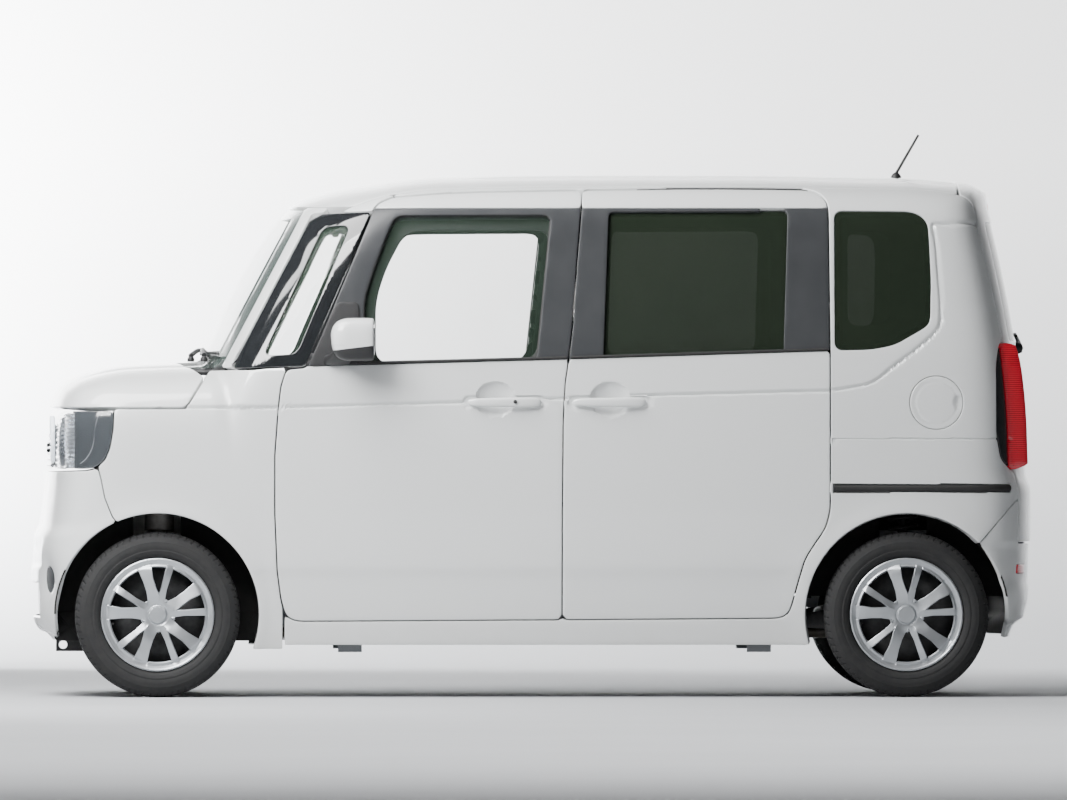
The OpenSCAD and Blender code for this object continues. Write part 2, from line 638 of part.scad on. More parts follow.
module rear_seat() color([0.3, 0.3, 0.3]) {
    translate([-900, -545, 520]) cushion([480, 1090, 140]);
    translate([-890, 0, 600]) seat_back(1090, 560, 16, 110);
    for (y = [-270, 270]) translate([-1060, y - 120, 1190]) cushion([80, 240, 150], 28);
    translate([-860, -480, 331]) cube([380, 960, 195]);
}
module wheel_liner(x, inner, low) difference() {
    translate([x, inner, axle_z]) rotate([-90, 0, 0]) cylinder(r = arch_r + 6, h = 688 - inner);
    translate([x, inner + 4, axle_z]) rotate([-90, 0, 0]) cylinder(r = arch_r, h = 400);
    translate([x - 400, 300, -200]) cube([800, 600, 200 + low]);
    translate([x - 80, 300, 100]) cube([160, 270, 900]);
}
module wheel_liners() color([0.06, 0.06, 0.06]) for (s = [0, 1]) mirror([0, s, 0]) {
    wheel_liner(front_axle_x, 398, 280);
    wheel_liner(rear_axle_x, 440, 338);
}
module antenna() color([0.1, 0.1, 0.1]) translate([-1246, 0, 1755.5]) {
    cylinder(r1 = 18, r2 = 12, h = 22);
    translate([0, 0, 14]) rotate([0, -30, 0]) cylinder(r = 4, h = 153);
}

floor_pan();
roof();
body_sides();
front_fenders();
front_bumper();
rear_bumper();
windscreen();
side_glass();
headlamps();
tail_lamps();
grille();
cowl();
dashboard();
steering_wheel();
front_seats();
rear_seat();
sliding_doors();
wheel_liners();
engine();
fuel_tank();
exhaust();
front_subframe();
rear_axle();
antenna();
bonnet();
front_door(1);  // front_door_left
front_door(-1);  // front_door_right
front_door_glass(1);  // front_door_glass_left
front_door_glass(-1);  // front_door_glass_right
door_mirror(1);  // door_mirror_left
door_mirror(-1);  // door_mirror_right
tailgate();
tailgate_glass();
number_plate();
fuel_lid();
front_knuckle(1);  // front_knuckle_left
front_knuckle(-1);  // front_knuckle_right
tyre(front_axle_x, 1);  // tyre_front_left
tyre(front_axle_x, -1);  // tyre_front_right
tyre(rear_axle_x, 1);  // tyre_rear_left
tyre(rear_axle_x, -1);  // tyre_rear_right
wheel(front_axle_x, 1);  // wheel_front_left
wheel(front_axle_x, -1);  // wheel_front_right
wheel(rear_axle_x, 1);  // wheel_rear_left
wheel(rear_axle_x, -1);  // wheel_rear_right
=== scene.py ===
import math
from itertools import product

import bmesh
import bpy
import numpy as np
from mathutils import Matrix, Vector


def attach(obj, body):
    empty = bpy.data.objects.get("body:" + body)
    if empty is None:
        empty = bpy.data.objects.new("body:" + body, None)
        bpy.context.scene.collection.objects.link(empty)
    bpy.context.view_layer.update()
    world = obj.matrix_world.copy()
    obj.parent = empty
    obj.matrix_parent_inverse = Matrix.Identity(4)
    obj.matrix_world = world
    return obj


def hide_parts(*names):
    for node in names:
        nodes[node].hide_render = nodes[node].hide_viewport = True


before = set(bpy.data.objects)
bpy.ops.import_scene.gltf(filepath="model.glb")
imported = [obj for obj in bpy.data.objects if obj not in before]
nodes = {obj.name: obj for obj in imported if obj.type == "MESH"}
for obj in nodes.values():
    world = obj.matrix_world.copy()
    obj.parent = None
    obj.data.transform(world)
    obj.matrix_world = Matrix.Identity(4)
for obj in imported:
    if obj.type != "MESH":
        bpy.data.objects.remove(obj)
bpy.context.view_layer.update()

sides = ((1, "left"), (-1, "right"))

# Outlines of the body, in metres.
body = {
    "length": 3.395, "floor": 0.165, "gap": 0.0045, "edge": 0.0022,
    "sideRound": 2.4, "endSquare": 30, "noseRound": 2.0, "tailRound": 2.2, "screenBow": 0.075,
    "frontAxle": 1.27, "rearAxle": -1.25, "axleHeight": 0.278, "archRadius": 0.342,
}
halfLength = body["length"] / 2
topLine = [
    (-1.6975, 1.702), (-1.66, 1.722), (-1.606, 1.739), (-1.53, 1.743), (-1.256, 1.755),
    (-1.136, 1.757), (-0.647, 1.765), (-0.158, 1.765), (0.332, 1.755), (0.576, 1.725),
    (0.678, 1.707), (0.76, 1.684), (0.806, 1.663), (0.838, 1.638), (0.872, 1.593),
    (0.939, 1.499), (1.026, 1.342), (1.108, 1.16), (1.124, 1.143), (1.15, 1.134),
    (1.253, 1.13), (1.433, 1.122), (1.566, 1.099), (1.64, 1.07), (1.677, 1.03), (1.69, 0.985),
    (1.6975, 0.94)]
noseLine = [
    (0.15, 1.59), (0.212, 1.64), (0.221, 1.665), (0.248, 1.683), (0.286, 1.693), (0.35, 1.6945),
    (0.465, 1.6965), (0.535, 1.688), (0.585, 1.667), (0.62, 1.661), (0.769, 1.647),
    (0.9, 1.643), (0.965, 1.637), (1.13, 1.62)]
tailLine = [
    (0.15, -1.611), (0.243, -1.64), (0.262, -1.672), (0.293, -1.681), (0.333, -1.689),
    (0.465, -1.6955), (0.69, -1.6966), (0.728, -1.688), (0.77, -1.678), (0.933, -1.672),
    (1.11, -1.657), (1.27, -1.634), (1.456, -1.598), (1.607, -1.564), (1.66, -1.552),
    (1.76, -1.548)]
sideLine = [
    (0.15, 0.688), (0.2, 0.697), (0.3, 0.711), (0.408, 0.724), (0.438, 0.73), (0.52, 0.734),
    (0.66, 0.737), (0.8, 0.7375), (0.975, 0.736), (1.13, 0.728), (1.32, 0.704), (1.52, 0.679),
    (1.7, 0.656), (1.77, 0.645)]
cornerLine = [(-1.7, 40), (0.48, 40), (0.82, 15), (1.09, 12), (1.16, 18), (1.7, 18)]


def curve(table, x):
    # cubic pieces through the table; the slope at a point is the harmonic mean of its neighbours'
    px, py = np.array(table, float).T
    rise = np.diff(py) / np.diff(px)
    a, b = rise[:-1], rise[1:]
    slope = np.r_[rise[0], np.where(a * b > 0, 2 * a * b / np.where(a + b == 0, 1, a + b), 0), rise[-1]]
    v = np.clip(x, px[0], px[-1])
    i = np.clip(np.searchsorted(px, v, side="right") - 1, 0, len(px) - 2)
    h = px[i + 1] - px[i]
    s = (v - px[i]) / h
    return (py[i] * (1 + 2 * s) * (1 - s) ** 2 + slope[i] * h * s * (1 - s) ** 2
            + py[i + 1] * s * s * (3 - 2 * s) + slope[i + 1] * h * s * s * (s - 1))


def ease(s):
    c = np.clip(s, 0, 1)
    return c * c * (3 - 2 * c)


# The body's skin has two parameters. s runs from tail to nose and on round the end to the
# middle line; t runs up the side and on over the top to the middle line. 0.7 m of each is
# kept for the stretch round the end and over the top.
turn = 0.7
sEnd = halfLength + turn
tEnd = 1.5 + turn


def endTable(roundness):
    b = np.cos(np.linspace(0, math.pi / 2, 4000)) ** 1.6
    u = (1 - b ** roundness) ** (1 / body["endSquare"])
    u = np.r_[np.linspace(0, u[1], 400)[:-1], u[1:]]
    b = (1 - u ** body["endSquare"]).clip(0) ** (1 / roundness)
    b[-1] = 0
    return halfLength * u + turn * (1 - b), u, b


noseTable, tailTable = endTable(body["noseRound"]), endTable(body["tailRound"])


def skin(s, t):
    # a**2.4 + r**p = 1 across, u**30 + b**e = 1 along; height r, half width a * b * side line
    along = np.abs(s)
    u = np.where(s > 0, np.interp(along, noseTable[0], noseTable[1]),
                 -np.interp(along, tailTable[0], tailTable[1]))
    b = np.where(s > 0, np.interp(along, noseTable[0], noseTable[2]),
                 np.interp(along, tailTable[0], tailTable[2]))
    x = u * halfLength
    p = curve(cornerLine, x)
    low, high = np.zeros_like(t), np.ones_like(t)
    for _ in range(46):
        r = (low + high) / 2
        above = 1.5 * r + turn * (1 - (1 - r ** p) ** (1 / body["sideRound"])) > t
        high = np.where(above, r, high)
        low = np.where(above, low, r)
    r = np.where(t >= tEnd - 1e-9, 1.0, (low + high) / 2)
    a = np.where(t >= tEnd - 1e-9, 0.0, (1 - r ** p).clip(0) ** (1 / body["sideRound"]))
    z = body["floor"] + (curve(topLine, x) - body["floor"]) * r
    nose = ease((u - 0.6) / 0.4) * (curve(noseLine, z) - halfLength)
    tail = ease((-u - 0.7) / 0.3) * (curve(tailLine, z) + halfLength)
    bow = body["screenBow"] * ease((x - 0.35) / 0.42) * (1 - ease((x - 1.1) / 0.3))
    return np.stack([x + np.where(u > 0, nose, tail) - bow * a * a, curve(sideLine, z) * a * b, z], 1)


def upTo(z, top=1.76):
    # the parameter t at a height on the side
    return 1.5 * (z - body["floor"]) / (top - body["floor"])


# Regions: each returns the distance inside its edge, in metres.
def least(*parts):
    # inside every one of the parts
    found = parts[0]
    for part in parts[1:]:
        found = np.minimum(found, part)
    return found


def fillet(outline, radius=0.03):
    # each corner is cut by a small quadratic curve
    p = np.array(outline, float)
    before, after = np.roll(p, 1, 0) - p, np.roll(p, -1, 0) - p
    cutA = np.minimum(radius / np.linalg.norm(before, axis=1), 0.5)[:, None]
    cutB = np.minimum(radius / np.linalg.norm(after, axis=1), 0.5)[:, None]
    w = np.linspace(0, 1, 7)[None, :, None]
    a, c = (p + before * cutA)[:, None], (p + after * cutB)[:, None]
    return (a * (1 - w) ** 2 + 2 * p[:, None] * w * (1 - w) + c * w * w).reshape(-1, 2)


def inside(outline, x, z):
    # distance to a closed outline, positive inside it
    p = np.array(outline, float)
    q = np.roll(p, -1, 0)
    d = q - p
    dist = np.empty(len(x))
    odd = np.empty(len(x), bool)
    for k in range(0, len(x), 8000):
        rx, rz = x[k:k + 8000, None] - p[:, 0], z[k:k + 8000, None] - p[:, 1]
        w = np.clip((rx * d[:, 0] + rz * d[:, 1]) / (d ** 2).sum(1).clip(1e-12), 0, 1)
        dist[k:k + 8000] = np.hypot(rx - w * d[:, 0], rz - w * d[:, 1]).min(1)
        cross = (rz < 0) != (z[k:k + 8000, None] < q[:, 1])
        slope = np.where(d[:, 1] == 0, 1e-12, d[:, 1])
        odd[k:k + 8000] = (cross & (rx < d[:, 0] * rz / slope)).sum(1) % 2 == 1
    return np.where(odd, dist, -dist)


def arch(x, z, radius=body["archRadius"]):
    # distance outside the two wheel arches
    front = np.hypot(x - body["frontAxle"], z - body["axleHeight"])
    rear = np.hypot(x - body["rearAxle"], z - body["axleHeight"])
    return np.minimum(front, rear) - radius


# Meshes.
def spaced(start, end, step, bands=()):
    # grid lines a step apart, closer inside each band of (from, to, step)
    marks = [start]
    while marks[-1] < end - 1e-9:
        here = marks[-1]
        fine = [b[2] for b in bands if b[0] <= here < b[1]]
        marks.append(min(here + (min(fine) if fine else step), end))
    if len(marks) > 2 and marks[-1] - marks[-2] < step * 0.3:
        marks.pop(-2)
    return np.array(marks)


def clipGrid(place, keep, us, vs):
    # a grid of triangles cut off along the line where keep() is zero
    u, v = [g.ravel().copy() for g in np.meshgrid(us, vs, indexing="ij")]
    rows, cols = len(us), len(vs)
    n = rows * cols
    fixU = (u == us[0]) | (u == us[-1])
    fixV = (v == vs[0]) | (v == vs[-1])
    stepU = np.gradient(us)[:, None].repeat(cols, 1).ravel()
    stepV = np.gradient(vs)[None, :].repeat(rows, 0).ravel()

    def measure(a, b):
        return keep(*place(a, b).T)

    d = measure(u, v)
    reach = 0.33 * np.minimum(stepU, stepV)
    near = np.flatnonzero(np.abs(d) < reach)
    for _ in range(3):
        here, e = d[near], 2e-5
        gu = (measure(u[near] + e, v[near]) - here) / e * ~fixU[near]
        gv = (measure(u[near], v[near] + e) - here) / e * ~fixV[near]
        size = (gu ** 2 + gv ** 2).clip(0.05)
        u[near] -= (here * gu / size).clip(-reach[near], reach[near])
        v[near] -= (here * gv / size).clip(-reach[near], reach[near])
        d[near] = measure(u[near], v[near])
    d[near] = np.where(np.abs(d[near]) < 2e-4, 0, d[near])
    i, j = [g.ravel() for g in np.meshgrid(np.arange(rows - 1), np.arange(cols - 1), indexing="ij")]
    a, b, c, e = i * cols + j, i * cols + j + 1, (i + 1) * cols + j + 1, (i + 1) * cols + j
    even = (i + j) % 2 == 0
    tris = np.concatenate([np.where(even[:, None], np.stack([a, b, c], 1), np.stack([a, b, e], 1)),
                           np.where(even[:, None], np.stack([a, c, e], 1), np.stack([b, c, e], 1))])
    sign = np.sign(d).astype(int)
    st = sign[tris]
    whole = (st >= 0).all(1) & (st > 0).any(1)
    flat = (st == 0).all(1)
    if flat.any():
        mid = tris[flat]
        whole[np.flatnonzero(flat)] = measure(u[mid].mean(1), v[mid].mean(1)) > 0
    mixed = (st > 0).any(1) & (st < 0).any(1)
    out = [tris[whole]]
    part, ps = tris[mixed], st[mixed]
    pairs = np.concatenate([part[:, [0, 1]], part[:, [1, 2]], part[:, [2, 0]]])
    pairs = pairs[sign[pairs[:, 0]] * sign[pairs[:, 1]] < 0]
    keys = np.unique(pairs.min(1) * n + pairs.max(1))
    ka, kb = keys // n, keys % n
    lo, hi = np.zeros(len(keys)), np.ones(len(keys))
    upward = d[kb] > 0
    for _ in range(12):
        w = (lo + hi) / 2
        good = measure(u[ka] * (1 - w) + u[kb] * w, v[ka] * (1 - w) + v[kb] * w) > 0
        high = good == upward
        hi = np.where(high, w, hi)
        lo = np.where(high, lo, w)
    w = (lo + hi) / 2
    u = np.r_[u, u[ka] * (1 - w) + u[kb] * w]
    v = np.r_[v, v[ka] * (1 - w) + v[kb] * w]
    for pattern in product((-1, 0, 1), repeat=3):
        if max(pattern) < 1 or min(pattern) > -1:
            continue
        rowsHere = part[(ps == pattern).all(1)]
        ring = []
        for k in range(3):
            m = (k + 1) % 3
            if pattern[k] >= 0:
                ring.append(rowsHere[:, k])
            if pattern[k] * pattern[m] < 0:
                pa, pb = rowsHere[:, k], rowsHere[:, m]
                ring.append(n + np.searchsorted(keys, np.minimum(pa, pb) * n + np.maximum(pa, pb)))
        out.append(np.stack([ring[0], ring[1], ring[2]], 1))
        if len(ring) == 4:
            out.append(np.stack([ring[0], ring[2], ring[3]], 1))
    tris = np.concatenate(out)
    used, back = np.unique(tris, return_inverse=True)
    return u[used], v[used], back.reshape(-1, 3)


def normalsOf(points, tris):
    a, b, c = points[tris[:, 0]], points[tris[:, 1]], points[tris[:, 2]]
    face = np.cross(b - a, c - a)
    total = np.stack([np.bincount(tris.ravel(), np.repeat(face[:, k], 3),
                                  len(points)) for k in range(3)], 1)
    # a point that touches only slivers takes its normal from the points round it
    shared = total[tris].sum(1)
    total = np.stack([np.bincount(tris.ravel(), np.repeat(shared[:, k], 3),
                                  len(points)) for k in range(3)], 1)
    return total / np.linalg.norm(total, axis=1, keepdims=True).clip(1e-12)


def mirroredSheet(points, tris):
    # the same sheet on the other side, joined along the middle line
    n = len(points)
    middle = np.abs(points[:, 1]) < 1e-6
    points[middle, 1] = 0
    other = np.where(middle, np.arange(n), n + np.arange(n))
    both = np.concatenate([points, points * [1, -1, 1]])
    faces = np.concatenate([tris, other[tris][:, ::-1]])
    used, back = np.unique(faces, return_inverse=True)
    return both[used], back.reshape(-1, 3)


def closedSheet(points, tris, thick, edge):
    # a sheet gets rounded edges, a wall inwards and an inner face; returns the inner faces' mark too
    normal = normalsOf(points, tris)
    n = len(points)
    e = np.concatenate([tris[:, [0, 1]], tris[:, [1, 2]], tris[:, [2, 0]]])
    key = e.min(1) * n + e.max(1)
    _, first, count = np.unique(key, return_index=True, return_counts=True)
    e = e[first[count == 1]]
    way = points[e[:, 1]] - points[e[:, 0]]
    way /= np.linalg.norm(way, axis=1, keepdims=True).clip(1e-12)
    out = np.zeros((n, 3))
    for side in (0, 1):
        np.add.at(out, e[:, side], np.cross(way, normal[e[:, side]]))
    rim = np.unique(e)
    order = np.full(n, -1)
    order[rim] = np.arange(len(rim))
    o = out[rim] / np.linalg.norm(out[rim], axis=1, keepdims=True).clip(1e-12)
    m = normal[rim]
    depth = np.broadcast_to(thick, n)
    rings = [points[rim] + o * edge * math.sin(g) - m * edge * (1 - math.cos(g))
             for g in (math.pi / 6, math.pi / 3, math.pi / 2)]
    inner = points - normal * depth[:, None]
    inner[rim] = points[rim] + o * edge - m * depth[rim, None]
    allPoints = np.concatenate([points] + rings + [inner])
    faces = [tris]
    starts = [n + k * len(rim) for k in range(3)]
    levels = [rim] + [s + np.arange(len(rim)) for s in starts] + [n + 3 * len(rim) + rim]
    ia, ib = order[e[:, 0]], order[e[:, 1]]
    for k in range(4):
        a, b, a2, b2 = levels[k][ia], levels[k][ib], levels[k + 1][ia], levels[k + 1][ib]
        faces += [np.stack([b, a, a2], 1), np.stack([b, a2, b2], 1)]
    back = tris[:, ::-1] + n + 3 * len(rim)
    mark = np.r_[np.zeros(sum(len(f) for f in faces), int), np.ones(len(back), int)]
    return allPoints, np.concatenate(faces + [back]), mark


def meshPiece(name, points, faces, materials, mark=None, sharp=38):
    mesh = bpy.data.meshes.new(name)
    faces = faces.tolist() if isinstance(faces, np.ndarray) else faces
    mesh.from_pydata(np.asarray(points, float).tolist(), [], faces)
    for material in materials if isinstance(materials, (list, tuple)) else [materials]:
        mesh.materials.append(material)
    if mark is not None:
        mesh.polygons.foreach_set("material_index", np.asarray(mark, np.int32))
    mesh.polygons.foreach_set("use_smooth", np.ones(len(mesh.polygons), bool))
    mesh.set_sharp_from_angle(angle=math.radians(sharp))
    mesh.update()
    piece = bpy.data.objects.new(name, mesh)
    bpy.context.scene.collection.objects.link(piece)
    return piece


def gridFaces(rows, cols, closeRows=False, closeCols=False):
    # quads over a grid of rows by cols points
    i, j = np.meshgrid(np.arange(rows - (not closeRows)), np.arange(cols - (not closeCols)),
                       indexing="ij")
    i, j = i.ravel(), j.ravel()
    ni, nj = (i + 1) % rows, (j + 1) % cols
    return np.stack([i * cols + j, ni * cols + j, ni * cols + nj, i * cols + nj], 1)


def settle(piece, ride="body", replaces=()):
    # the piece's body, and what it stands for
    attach(piece, ride)
    if replaces:
        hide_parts(*replaces)
    return piece


def joined(parts):
    # several (points, faces) lists as one
    points, faces, start = [], [], 0
    for p, f in parts:
        points.append(np.asarray(p, float))
        faces += [tuple(int(k) + start for k in face) for face in f]
        start += len(p)
    return np.concatenate(points), faces


def panel(name, region, sRange, tRange, step, thick, materials, ride="body", replaces=(),
          side=1, sink=0.0, relief=None, bandsS=(), bandsT=(), edge=body["edge"], both=False,
          trim=None):
    # one pressed panel: the skin inside a region, sunk or pressed in, with rounded closed edges
    us, vs = spaced(*sRange, step, bandsS), spaced(*tRange, step, bandsT)
    u, v, tris = clipGrid(skin, lambda x, y, z: region(x, y, z) - edge, us, vs)
    points = skin(u, v)
    if both:
        points, tris = mirroredSheet(points, tris)
    normal = normalsOf(points, tris)
    shift = np.full(len(points), float(sink))
    if relief:
        shift += relief(points[:, 0], np.abs(points[:, 1]), points[:, 2])
    depth = thick(points) if callable(thick) else thick
    points = points - normal * shift[:, None]
    points, tris, mark = closedSheet(points, tris, depth, edge)
    if side < 0:
        points, tris = points * [1, -1, 1], tris[:, ::-1]
    if trim:
        materials = [materials, trim]
    else:
        mark = None
    return settle(meshPiece(name, points, tris, materials, mark), ride, replaces)


# Materials.
class Wire:
    # a socket, or a number, that sums like a number
    def __init__(self, shader, out):
        self.shader, self.out = shader, out

    def calc(self, operation, *parts):
        return self.shader.node("Math", {"operation": operation}, dict(enumerate(parts)))

    def clamp(self):
        return self.calc("MAXIMUM", self.calc("MINIMUM", self, 1.0), 0.0)


def sumWith(operation, flipped):
    def method(self, other):
        return self.calc(operation, other, self) if flipped else self.calc(operation, self, other)
    return method


for word, operation in (("add", "ADD"), ("sub", "SUBTRACT"), ("mul", "MULTIPLY"), ("truediv", "DIVIDE"),
                        ("pow", "POWER")):
    setattr(Wire, "__" + word + "__", sumWith(operation, False))
    setattr(Wire, "__r" + word + "__", sumWith(operation, True))


class Finish:
    # one material: its Principled shader, and one method for every other node
    def __init__(self, name, **fixed):
        self.material = bpy.data.materials.new(name)
        self.material.use_nodes = True
        self.tree = self.material.node_tree
        self.shader = self.tree.nodes["Principled BSDF"]
        self.place = self.node("TexCoord", out="Object")
        for socket, value in fixed.items():
            self.set(socket, value)

    def feed(self, socket, value):
        if isinstance(value, Wire):
            self.tree.links.new(value.out, socket)
        elif isinstance(value, tuple) and len(value) == 3 and len(socket.default_value) == 4:
            socket.default_value = (*value, 1)
        else:
            socket.default_value = value

    def node(self, kind, settings=None, values=None, out=0):
        made = self.tree.nodes.new("ShaderNode" + kind)
        for key, value in (settings or {}).items():
            if key == "stops":
                while len(made.color_ramp.elements) < len(value):
                    made.color_ramp.elements.new(0.5)
                for stop, (at, colour) in zip(made.color_ramp.elements, value):
                    stop.position, stop.color = at, (*colour, 1)
            else:
                setattr(made, key, value)
        for key, value in (values or {}).items():
            self.feed(made.inputs[key], value)
        return Wire(self, made.outputs[out])

    def set(self, socket, value):
        self.feed(self.shader.inputs[socket.replace("_", " ")], value)

    def axes(self):
        split = self.node("SeparateXYZ", values={0: self.place})
        return [Wire(self, split.out.node.outputs[k]) for k in range(3)]

    def noise(self, scale, detail=3.0, rough=0.5, where=None):
        return self.node("TexNoise", values={"Vector": where or self.place, "Scale": scale,
                                             "Detail": detail, "Roughness": rough})

    def mix(self, factor, first, second):
        made = self.tree.nodes.new("ShaderNodeMix")
        made.data_type = "RGBA"
        for key, value in ((0, factor), (6, first), (7, second)):
            self.feed(made.inputs[key], value)
        return Wire(self, made.outputs[2])

    def bump(self, height, strength, distance):
        return self.node("Bump", values={"Height": height, "Strength": strength, "Distance": distance})

    def tint(self, first, second, scale, spread=0.5, detail=4.0):
        # two shades mixed by soft noise
        grain = ((self.noise(scale, detail) - 0.5) * (2 * spread) + 0.5).clamp()
        self.set("Base_Color", self.mix(grain, first, second))
        return grain


def paintFinish():
    # white pearl: fine flake in the coat's depth, faint orange peel, darker and rougher in patches
    # towards the bottom
    look = Finish("whitePearl", Metallic=0.0, IOR=1.5, Coat_Weight=1.0, Coat_Roughness=0.03,
                  Coat_IOR=1.5)
    z = look.axes()[2]
    flake = look.node("TexVoronoi", values={"Vector": look.place, "Scale": 2600.0}, out="Color")
    spark = look.node("SeparateXYZ", values={0: flake})
    # darker, rougher patches below about a third of a metre
    lowPatches = ((0.34 - z) * 5.0).clamp() * look.noise(9.0) * 0.5
    base = look.mix(spark * 0.5, (0.70, 0.715, 0.715), (0.77, 0.78, 0.775))
    look.set("Base_Color", look.mix(lowPatches, base, (0.56, 0.55, 0.52)))
    look.set("Roughness", 0.34 + spark * 0.08 + lowPatches * 0.4)
    look.set("Normal", look.bump(look.noise(420.0, 2.0), 0.06, 0.0006))
    return look.material


def mouldedFinish(name, dark, light, rough, grain=900.0, strength=0.25):
    # moulded plastic: fine leather-like grain, slightly uneven sheen
    look = Finish(name, IOR=1.46)
    shade = look.tint(dark, light, 14.0)
    cells = look.node("TexVoronoi", values={"Vector": look.place, "Scale": grain})
    look.set("Roughness", rough + shade * 0.12)
    look.set("Normal", look.bump(cells, strength, 0.0006))
    return look.material


def glossFinish(name, dark, light, rough=0.08):
    look = Finish(name, IOR=1.5, Coat_Weight=0.8, Coat_Roughness=0.03)
    shade = look.tint(dark, light, 30.0)
    look.set("Roughness", rough + shade * 0.05)
    return look.material


def glassFinish(name, thin, thick, clear, rough=0.015):
    # tinted sheet: mostly see-through, with faint streaks in how much it lets by
    look = Finish(name, IOR=1.5, Specular_IOR_Level=0.35)
    streak = look.noise(3.0, 5.0)
    look.set("Base_Color", look.mix(streak, thin, thick))
    look.set("Roughness", rough + streak * 0.02)
    look.set("Alpha", clear + streak * 0.04)
    return look.material


def metalFinish(name, dark, light, rough, metal=1.0, scale=60.0, bump=0.15):
    look = Finish(name, Metallic=metal)
    shade = look.tint(dark, light, scale, 0.8)
    fine = look.noise(scale * 12, 4.0)
    look.set("Roughness", rough + shade * 0.15 + fine * 0.08)
    look.set("Normal", look.bump(fine, bump, 0.0005))
    return look.material


def rubberFinish():
    # tyre rubber: greyer where it has scuffed, fine mould lines
    look = Finish("tyreRubber", IOR=1.45, Specular_IOR_Level=0.35)
    scuff = look.noise(38.0, 6.0, 0.65)
    look.set("Base_Color", look.mix(((scuff - 0.35) * 2.0).clamp(), (0.017, 0.017, 0.018),
            (0.027, 0.027, 0.026)))
    look.set("Roughness", 0.62 + scuff * 0.25)
    look.set("Normal", look.bump(look.noise(700.0, 3.0), 0.3, 0.0005))
    return look.material


def fabricFinish(name, dark, light):
    # woven seat cloth: crossed threads a millimetre and a half apart
    look = Finish(name, Sheen_Weight=0.3, Sheen_Roughness=0.5)
    x, y, z = look.axes()
    warp = (x * 2100.0 + z * 900.0).calc("SINE", x * 2100.0 + z * 900.0)
    weft = y.calc("SINE", y * 4200.0)
    weave = warp * weft
    cloud = look.noise(26.0, 4.0)
    look.set("Base_Color", look.mix((cloud * 0.6 + weave * 0.2 + 0.2).clamp(), dark, light))
    look.set("Roughness", 0.85 + cloud * 0.1)
    look.set("Normal", look.bump(weave, 0.35, 0.0008))
    return look.material


def redLensFinish():
    # red lens with fine level ribs, lit a little from within
    look = Finish("redLens", IOR=1.5, Coat_Weight=1.0, Coat_Roughness=0.02)
    z = look.axes()[2]
    ribs = z.calc("SINE", z * 900.0)
    look.set("Base_Color", look.mix((ribs * 0.5 + 0.5).clamp(), (0.34, 0.004, 0.012),
            (0.62, 0.012, 0.03)))
    look.set("Roughness", 0.08 + look.noise(20.0) * 0.06)
    look.set("Emission_Color", look.mix((ribs * 0.5 + 0.5).clamp(), (0.25, 0.0, 0.01),
            (0.5, 0.01, 0.02)))
    look.set("Emission_Strength", 0.25)
    look.set("Normal", look.bump(ribs, 0.25, 0.0008))
    return look.material


white = paintFinish()
pillarGrey = mouldedFinish("pillarGrey", (0.032, 0.034, 0.037), (0.045, 0.047, 0.05), 0.3, 1400.0, 0.08)
trimBlack = mouldedFinish("trimBlack", (0.012, 0.012, 0.013), (0.022, 0.022, 0.023), 0.42)
linerBlack = mouldedFinish("linerBlack", (0.010, 0.010, 0.010), (0.022, 0.021, 0.02), 0.75, 300.0, 0.5)
trimGrey = mouldedFinish("cabinGrey", (0.10, 0.10, 0.105), (0.15, 0.15, 0.15), 0.6)
trimPale = mouldedFinish("cabinPale", (0.36, 0.36, 0.34), (0.43, 0.42, 0.40), 0.75, 500.0)
glossBlack = glossFinish("glossBlack", (0.008, 0.009, 0.01), (0.016, 0.018, 0.02))
sealRubber = mouldedFinish("sealRubber", (0.012, 0.012, 0.012), (0.02, 0.02, 0.02), 0.55, 600.0)
clearGlass = glassFinish("clearGlass", (0.10, 0.16, 0.115), (0.13, 0.19, 0.145), 0.07)
screenGlass = glassFinish("screenGlass", (0.30, 0.40, 0.36), (0.34, 0.44, 0.4), 0.07)
privacyGlass = glassFinish("privacyGlass", (0.015, 0.022, 0.014), (0.022, 0.03, 0.02), 0.72)
lampGlass = glassFinish("lampGlass", (0.5, 0.56, 0.62), (0.6, 0.66, 0.72), 0.02, 0.01)
redLens = redLensFinish()
mirrorSilver = metalFinish("mirrorSilver", (0.82, 0.83, 0.84), (0.9, 0.9, 0.91), 0.02, 1.0, 20.0, 0.0)
chrome = metalFinish("lampChrome", (0.78, 0.8, 0.84), (0.9, 0.92, 0.95), 0.05, 1.0, 40.0, 0.02)
coverSilver = metalFinish("coverSilver", (0.42, 0.44, 0.46), (0.5, 0.52, 0.54), 0.26, 0.75, 18.0, 0.03)
steelBlack = metalFinish("steelBlack", (0.02, 0.02, 0.022), (0.05, 0.05, 0.05), 0.45, 0.3)
castAlloy = metalFinish("castAlloy", (0.3, 0.3, 0.3), (0.45, 0.45, 0.44), 0.45, 0.9, 30.0, 0.5)
exhaustSteel = metalFinish("exhaustSteel", (0.22, 0.19, 0.16), (0.42, 0.4, 0.37), 0.4, 0.9, 14.0, 0.4)
floorSteel = metalFinish("floorSteel", (0.16, 0.17, 0.18), (0.25, 0.26, 0.27), 0.5, 0.2, 8.0, 0.5)
brakeIron = metalFinish("brakeIron", (0.16, 0.15, 0.14), (0.3, 0.29, 0.28), 0.35, 0.9, 50.0, 0.3)
rubber = rubberFinish()
seatCloth = fabricFinish("seatCloth", (0.10, 0.095, 0.09), (0.2, 0.19, 0.18))
plateWhite = glossFinish("plateWhite", (0.74, 0.75, 0.74), (0.8, 0.81, 0.8), 0.3)
lampWhite = Finish("lampWhite", Roughness=0.3, Emission_Strength=0.8)
lampWhite.set("Base_Color", lampWhite.mix(lampWhite.noise(60.0), (0.8, 0.85, 0.9), (0.9, 0.94, 1.0)))
lampWhite.set("Emission_Color", (0.8, 0.9, 1.0))
lampWhite = lampWhite.material
print("materials made")

